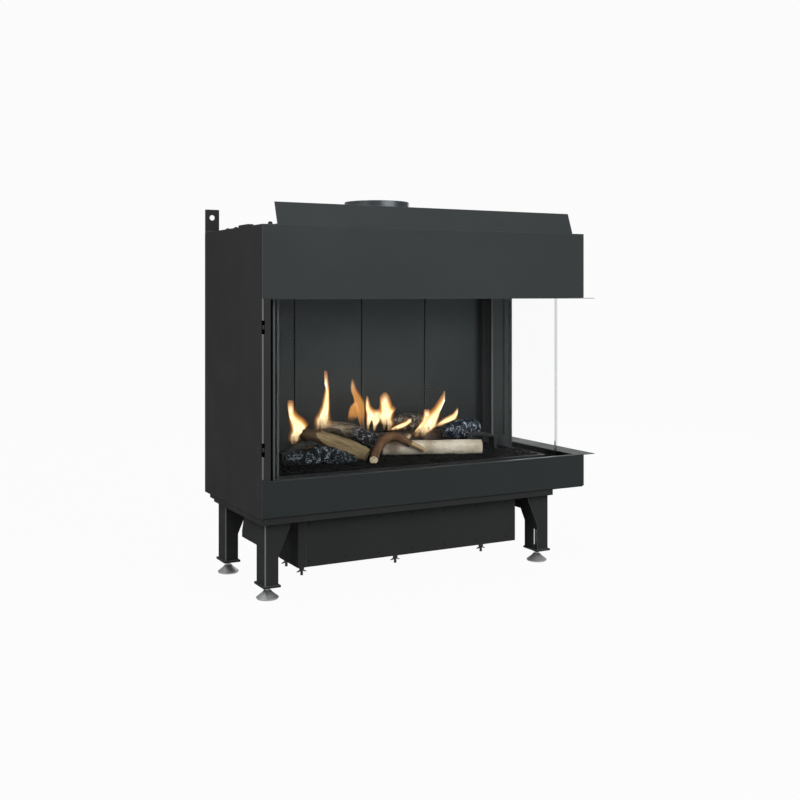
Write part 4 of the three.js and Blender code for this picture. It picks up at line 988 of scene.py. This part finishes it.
def make_granule_bed(finish):
    """The closed bed of granules that the loose ones lie on."""
    vertices = [bed_point(row, column, is_top) for is_top in (True, False)
                for row in range(BED_ROWS + 1) for column in range(BED_COLUMNS + 1)]
    faces = []
    width = BED_COLUMNS + 1
    under, last_row = width * (BED_ROWS + 1), width * BED_ROWS
    for row in range(BED_ROWS):
        for column in range(BED_COLUMNS):
            first = row * width + column
            corners = (first, first + 1, first + width + 1, first + width)
            faces.append(corners)
            faces.append(tuple(index + under for index in corners[::-1]))
    rim = [*range(BED_COLUMNS), *range(BED_COLUMNS, under - 1, width),
           *range(under - 1, last_row, -1), *range(last_row, 0, -width)]
    for first, second in zip(rim, rim[1:] + rim[:1]):
        faces.append((second, first, first + under, second + under))
    piece = new_piece("granule_bed", vertices, faces, [finish])
    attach(piece, "root")


def make_loose_granules(finish):
    """Small grains with three sides and a tip, strewn over the bed."""
    chance = random.Random(GRANULE_SEED)
    vertices, faces = [], []
    for _ in range(GRANULE_COUNT):
        x, y = chance.uniform(bed_low.x, bed_high.x), chance.uniform(bed_low.y, bed_high.y)
        size = chance.uniform(*GRANULE_SIZES) * MM
        level = hearth_level + bed_height(x, y) * MM + size * GRANULE_LIFT_SHARE
        centre = Vector((x, y, level))
        first = len(vertices)
        turn = chance.uniform(0, 2 * math.pi)
        for corner_angle in turns(3):
            angle = turn + corner_angle + chance.uniform(-GRANULE_TILT, GRANULE_TILT)
            vertices.append(centre + Vector((math.cos(angle), math.sin(angle), GRANULE_BASE_SHARE)) * size)
        tip = Vector((chance.uniform(-GRANULE_TILT, GRANULE_TILT),
                      chance.uniform(-GRANULE_TILT, GRANULE_TILT), chance.uniform(*GRANULE_TIP_SHARES)))
        vertices.append(centre + tip * size)
        faces += [(first, first + 1, first + 3), (first + 1, first + 2, first + 3),
                  (first + 2, first, first + 3), (first, first + 2, first + 1)]
    piece = new_piece("granules", vertices, faces, [finish], smooth=False)
    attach(piece, "root")


# Flames. Each has its depth behind the flames' plane in millimetres, its heat, and its rows: a row of
# the photograph and the columns where the flame's two sides cross it, from the tip down.
FLAMES = {
    "flame_left": (30, 0.9, [
        (400.4, 288.5, 291.8), (402.7, 287.2, 293.6), (406, 287.4, 293.8), (410.3, 288, 294.6),
        (414, 288.4, 298), (418, 288.8, 303.7), (424, 289.6, 308.7), (429, 290.4, 306),
        (434.8, 288.4, 301), (440.9, 287, 300), (445.5, 291, 295.5)]),
    "flame_tall": (35, 0.95, [
        (370.8, 324.4, 326.2), (373, 323.6, 327.4), (376, 325, 327.6), (382.4, 325.8, 328.8),
        (388, 324.9, 329.2), (394.4, 323.9, 329.4), (404.8, 321.3, 329.9), (411.7, 317.9, 330),
        (418.5, 313.5, 331.6), (425.4, 312.3, 335), (431.5, 314, 322)]),
    "flame_slim": (50, 0.45, [
        (379.8, 351.8, 353.2), (387.6, 350.6, 355.7), (394.4, 352.8, 360), (401.3, 354, 364.3),
        (410, 356.6, 364.8), (418.5, 358, 364.5), (427, 360.5, 363.8), (433, 361.4, 363)]),
    "flame_slim_lobe": (52, 0.35, [
        (402, 354, 357), (406, 350.4, 359), (411, 348.6, 359.6), (417, 347.6, 358),
        (422, 347.8, 353)]),
    "flame_small": (38, 0.65, [
        (396, 366.6, 368), (400, 365.8, 369), (404.8, 365.2, 370.4), (409, 365.3, 374),
        (413, 365.6, 376), (418, 366, 373), (424, 366.2, 370), (433, 366.6, 368.4)]),
    "flame_bridge": (40, 0.7, [
        (409.6, 371, 380.5), (411.5, 368, 383), (414, 368.4, 383), (419, 370.4, 381),
        (425, 372.4, 377.6), (432, 373, 375.6)]),
    "flame_broad": (36, 1.0, [
        (392.6, 383.4, 386.6), (396.2, 379.8, 389.3), (400, 379.2, 390.6), (404.8, 379.3, 392),
        (408.2, 379, 396.4), (412, 376.6, 394.2), (417, 376.8, 393.6), (424, 379.6, 395),
        (432, 380.6, 392)]),
    "flame_broad_tail": (34, 0.85, [
        (418.5, 409, 411.6), (421, 405.5, 411.5), (424.5, 398, 409), (428, 391, 404),
        (431.5, 387, 396)]),
    "flame_right": (30, 0.8, [
        (391, 443.9, 445), (395, 441.5, 444.2), (399.6, 438.4, 443), (406.5, 434, 441),
        (411.7, 428.6, 440.3), (418.5, 424, 438.6), (425.4, 419.5, 438), (432.3, 414, 431),
        (438, 410.8, 424.6)]),
    "flame_right_lobe": (32, 0.7, [
        (409.3, 424, 429), (413, 423.6, 431), (420, 421.6, 429), (428, 416, 424), (434, 412, 420)]),
    "flame_far": (38, 0.8, [
        (408, 456.8, 457.7), (413.4, 452.6, 457.9), (418.5, 443, 457), (422.9, 437.8, 448),
        (427.5, 433, 440)]),
}
FLAME_PLANE = grille_low.y + 145 * MM
FLAME_RINGS = 44
FLAME_SIDES = 14
FLAME_DEPTH_SHARE = 0.35
FLAME_SHRINK_SHARE = 0.5
FLAME_FOOT_ROWS = 6
FLAME_SWAY = 4
FLAME_SWAY_RATE = 5
FLAME_SHELLS = {
    "mantle": (1.0, 0.0, flame_glow("flame_mantle", linear(150, 88, 54), linear(232, 138, 66),
                                    linear(250, 180, 120), (0.0, 0.08, 0.16, 0.22), 0.9)),
    "body": (0.86, 0.0, flame_glow("flame_body", linear(200, 128, 76), linear(252, 184, 96),
                                   linear(255, 214, 160), (0.0, 0.12, 0.24, 0.3), 1.1)),
    "heart": (0.72, 0.5, flame_glow("flame_heart", linear(236, 176, 110), linear(255, 228, 140),
                                    linear(255, 240, 206), (0.0, 0.18, 0.42, 0.5), 1.4)),
    "core": (0.58, 0.6, flame_glow("flame_core", linear(245, 205, 150), linear(255, 248, 210),
                                   linear(255, 252, 240), (0.0, 0.34, 0.95, 0.95), 2.0)),
}


def flame_rows(rows):
    """Rows evenly spread from the flame's foot to its tip, as (share, row, left, right)."""
    columns = list(zip(*rows[::-1]))
    shares = [ring / FLAME_RINGS for ring in range(FLAME_RINGS + 1)]
    return [(share, *(spread(column, share) for column in columns)) for share in shares]


def make_flame(name, depth_offset, heat, rows):
    """A flame as closed shells inside one another, brighter towards its core. A cool one has fewer."""
    depth = FLAME_PLANE + depth_offset * MM
    lowest = rows[-1][0]
    for shell, (width_share, least_heat, material) in FLAME_SHELLS.items():
        if heat < least_heat:
            continue
        vertices, rises = [], []
        shrink = 1 - FLAME_SHRINK_SHARE * (1 - width_share)
        for share, row, left, right in flame_rows(rows):
            level = lowest + (row - lowest) * shrink - (1 - shrink) * FLAME_FOOT_ROWS
            first, second = photo_point(left, level, depth), photo_point(right, level, depth)
            centre = (first + second) / 2
            half = (second - first) / 2 * width_share
            wave = noise.noise(Vector((share * FLAME_SWAY_RATE, depth_offset, len(rows))))
            sway = wave * FLAME_SWAY * MM * share
            for angle in turns(FLAME_SIDES):
                depth_reach = half.length * FLAME_DEPTH_SHARE * math.sin(angle)
                vertices.append(centre + half * math.cos(angle) + Vector((0, depth_reach + sway, 0)))
                rises.append(share)
        faces = closed_tube(FLAME_RINGS, FLAME_SIDES)
        piece = new_piece(f"{name}_{shell}", vertices, faces, [material])
        set_attribute(piece, "rise", "FLOAT", rises)
        piece.visible_shadow = False
        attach(piece, "root")


# Small fittings, in millimetres. The screws' profile has shares of their radius and height.
SCREW_PROFILE = ((1.0, 0.0), (1.0, 0.35), (0.86, 0.78), (0.5, 1.0), (0.28, 0.98), (0.18, 0.55))
SCREW_SIDES = 16
BOX_SCREW_RADIUS = 3.2
BOX_SCREW_HEIGHT = 1.6
BOX_SCREW_PITCH = 83
BOX_SCREW_START = 10
BOX_SCREW_DROP = 26
BOX_SCREW_RISE = 14
BOX_SCREW_COUNT = 7
TOP_SHEET_DROP = 2.3
CASING_SCREW_RADIUS = 5
CASING_SCREW_HEIGHT = 6.5
CASING_SCREWS = ((25, 20, 0), (15, 199, TOP_SHEET_DROP), (15, 252, TOP_SHEET_DROP),
                 (795, 199, TOP_SHEET_DROP), (795, 252, TOP_SHEET_DROP))
GASKET_INSET = 3.4
GASKET_HALF_WIDTH = 3.3
GASKET_HALF_DEPTH = 1.6
GASKET_GAP = 1.75
GASKET_END_GAPS = (8, 16)
GASKET_SWELL_SHARE = 0.06
GASKET_RINGS = 90
GASKET_SIDES = 12
THREAD_RADIUS = 5.2
THREAD_ROOT = 4.9
THREAD_HALF_RIDGE = 0.42
THREAD_PITCH = 1.75
THREAD_SIDES = 14
THREAD_START = 18
THREAD_END_GAP = 0.5


def add_screws(name, centres, normal, radius, height, slot_name):
    """Domed screw heads with a dimple in their middle, on a face with that normal."""
    side_axis = normal.orthogonal().normalized()
    other_axis = normal.cross(side_axis)
    bands = len(SCREW_PROFILE) - 1
    vertices, faces = [], []
    for centre in centres:
        faces += tube_faces(len(vertices), bands, SCREW_SIDES)
        for share, rise in SCREW_PROFILE:
            for angle in turns(SCREW_SIDES):
                out = side_axis * math.cos(angle) + other_axis * math.sin(angle)
                vertices.append(centre + (out * radius * share + normal * height * rise) * MM)
        faces.append(tuple(range(len(vertices) - SCREW_SIDES, len(vertices))))
    piece = new_piece(name, vertices, faces, [slot_materials[slot_name]])
    split_sharp_edges(piece)
    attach(piece, "root")


def make_box_screws():
    """Two rows of screws in the control box's front cover."""
    low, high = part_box("control_box_front")
    centres = [Vector((low.x + (BOX_SCREW_START + index * BOX_SCREW_PITCH) * MM, low.y, height))
               for height in (high.z - BOX_SCREW_DROP * MM, low.z + BOX_SCREW_RISE * MM)
               for index in range(BOX_SCREW_COUNT)]
    add_screws("control_box_screws", centres, Vector((0, -1, 0)), BOX_SCREW_RADIUS, BOX_SCREW_HEIGHT,
               "base_paint")


def make_casing_screws():
    """Screws near the side edges of the top, and one in the header's flange."""
    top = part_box("header")[1].z
    centres = [Vector((corner.x + across * MM, corner.y + behind * MM, top - drop * MM))
               for across, behind, drop in CASING_SCREWS]
    add_screws("casing_screws", centres, upward, CASING_SCREW_RADIUS, CASING_SCREW_HEIGHT, "side_paint")


def make_gasket():
    """Braided tape between the front glass and the back lip of its left channel."""
    glass_low, glass_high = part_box("front_glass")
    left = glass_low.x + GASKET_INSET * MM
    half_width, half_depth = GASKET_HALF_WIDTH * MM, GASKET_HALF_DEPTH * MM
    centre_y = glass_high.y + GASKET_GAP * MM
    start = glass_low.z + GASKET_END_GAPS[0] * MM
    length = glass_high.z - GASKET_END_GAPS[1] * MM - start
    vertices = []
    for ring in range(GASKET_RINGS + 1):
        swell = 1 - GASKET_SWELL_SHARE * (ring % 2)
        for angle in turns(GASKET_SIDES):
            vertices.append(Vector((left + half_width * (1 + swell * math.cos(angle)),
                                    centre_y + half_depth * swell * math.sin(angle),
                                    start + length * ring / GASKET_RINGS)))
    faces = closed_tube(GASKET_RINGS, GASKET_SIDES)
    piece = new_piece("glass_gasket", vertices, faces, [gasket_cord()])
    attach(piece, "root")


def make_thread(name, body):
    """The screw thread on a levelling foot's stem."""
    low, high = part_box(name)
    centre = (low + high) / 2
    start, end = THREAD_START * MM, high.z - THREAD_END_GAP * MM
    steps = int((end - start) / (THREAD_PITCH * MM) * THREAD_SIDES)
    profile = ((THREAD_ROOT, -THREAD_HALF_RIDGE), (THREAD_RADIUS, 0), (THREAD_ROOT, THREAD_HALF_RIDGE))
    vertices, faces = [], []
    for step in range(steps + 1):
        angle = 2 * math.pi * step / THREAD_SIDES
        level = start + (end - start) * step / steps
        out = Vector((math.cos(angle), math.sin(angle), 0))
        for radius, rise in profile:
            vertices.append(Vector((centre.x, centre.y, level + rise * MM)) + out * radius * MM)
    for step in range(steps):
        base = step * len(profile)
        faces += [(base, base + 3, base + 4, base + 1), (base + 1, base + 4, base + 5, base + 2)]
    piece = new_piece(name.replace("levelling_foot", "foot_thread"), vertices, faces,
                      [slot_materials["zinc_steel"]])
    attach(piece, body)


# Studio
def camera_and_view():
    camera = bpy.data.cameras.new("camera")
    holder = place_object("camera", camera)
    camera.lens = LENS
    camera.sensor_width = SENSOR_WIDTH
    camera.shift_y = (HORIZON_ROW - PHOTO_SIZE / 2) / PHOTO_SIZE
    holder.location = eye
    holder.rotation_euler = (math.radians(90), 0, -YAW)
    bpy.context.scene.camera = holder
    bpy.context.scene.view_settings.view_transform = "Standard"


def world_light():
    world = bpy.data.worlds.new("studio")
    bpy.context.scene.world = world
    world.use_nodes = True
    tree = world.node_tree
    inputs = tree.nodes["Background"].inputs
    put(tree, inputs["Color"], (1, 1, 1, 1))
    strength = levels(tree, straight_rays(tree), 0.0, 1.0, WORLD_LIGHT, BACKGROUND_WHITE)
    put(tree, inputs["Strength"], strength)


def floor():
    """The white floor, which keeps the object's shadow. It glows where it is seen straight, through
    glass or in a reflection."""
    material, tree = blank_material("studio_floor")
    set_inputs(tree, {"Base Color": (FLOOR_WHITE, FLOOR_WHITE, FLOOR_WHITE, 1), "Roughness": 0.9,
                      "Specular IOR Level": 0.0})
    glow = add_node(tree, "ShaderNodeEmission", {"Color": (1, 1, 1, 1), "Strength": 1.0})
    seen = calculate(tree, "MAXIMUM", straight_rays(tree), ray_is(tree, "Glossy"))
    show(tree, mix_shaders(tree, times(tree, seen, FLOOR_GLOW), own_shader(tree), glow))
    reach = FLOOR_REACH
    piece = new_piece("floor", [(-reach, -reach, 0), (reach, -reach, 0), (reach, reach, 0),
                                (-reach, reach, 0)], [(0, 1, 2, 3)], [material])


def soft_lamp(name, place, size, power):
    """A square soft lamp that faces the middle of the object."""
    lamp = bpy.data.lights.new(name, "AREA")
    lamp.size = size
    lamp.energy = power
    holder = place_object(name, lamp)
    holder.location = place
    centre = (cad_box[0] + cad_box[1]) / 2
    holder.rotation_euler = (centre - Vector(place)).to_track_quat("-Z", "Y").to_euler()


camera_and_view()
world_light()
floor()
soft_lamp("key", *KEY_LAMP)
soft_lamp("fill", *FILL_LAMP)
soft_lamp("back", *BACK_LAMP)

for subpart in frame["record"]["subparts"]:
    dress_node(subpart["node"], subpart["material_slot"])
make_birch()
make_rear_log()
make_split_log()
make_charred_log()
make_branch()
make_charcoal()
granule_finish = black_granules()
make_granule_bed(granule_finish)
make_loose_granules(granule_finish)
for flame_name, (offset, heat, rows) in FLAMES.items():
    make_flame(flame_name, offset, heat, rows)
make_box_screws()
make_casing_screws()
make_gasket()
for place in CORNERS:
    initials = "".join(word[0] for word in place.split("_"))
    make_thread(f"levelling_foot_{place}", f"foot_{initials}")
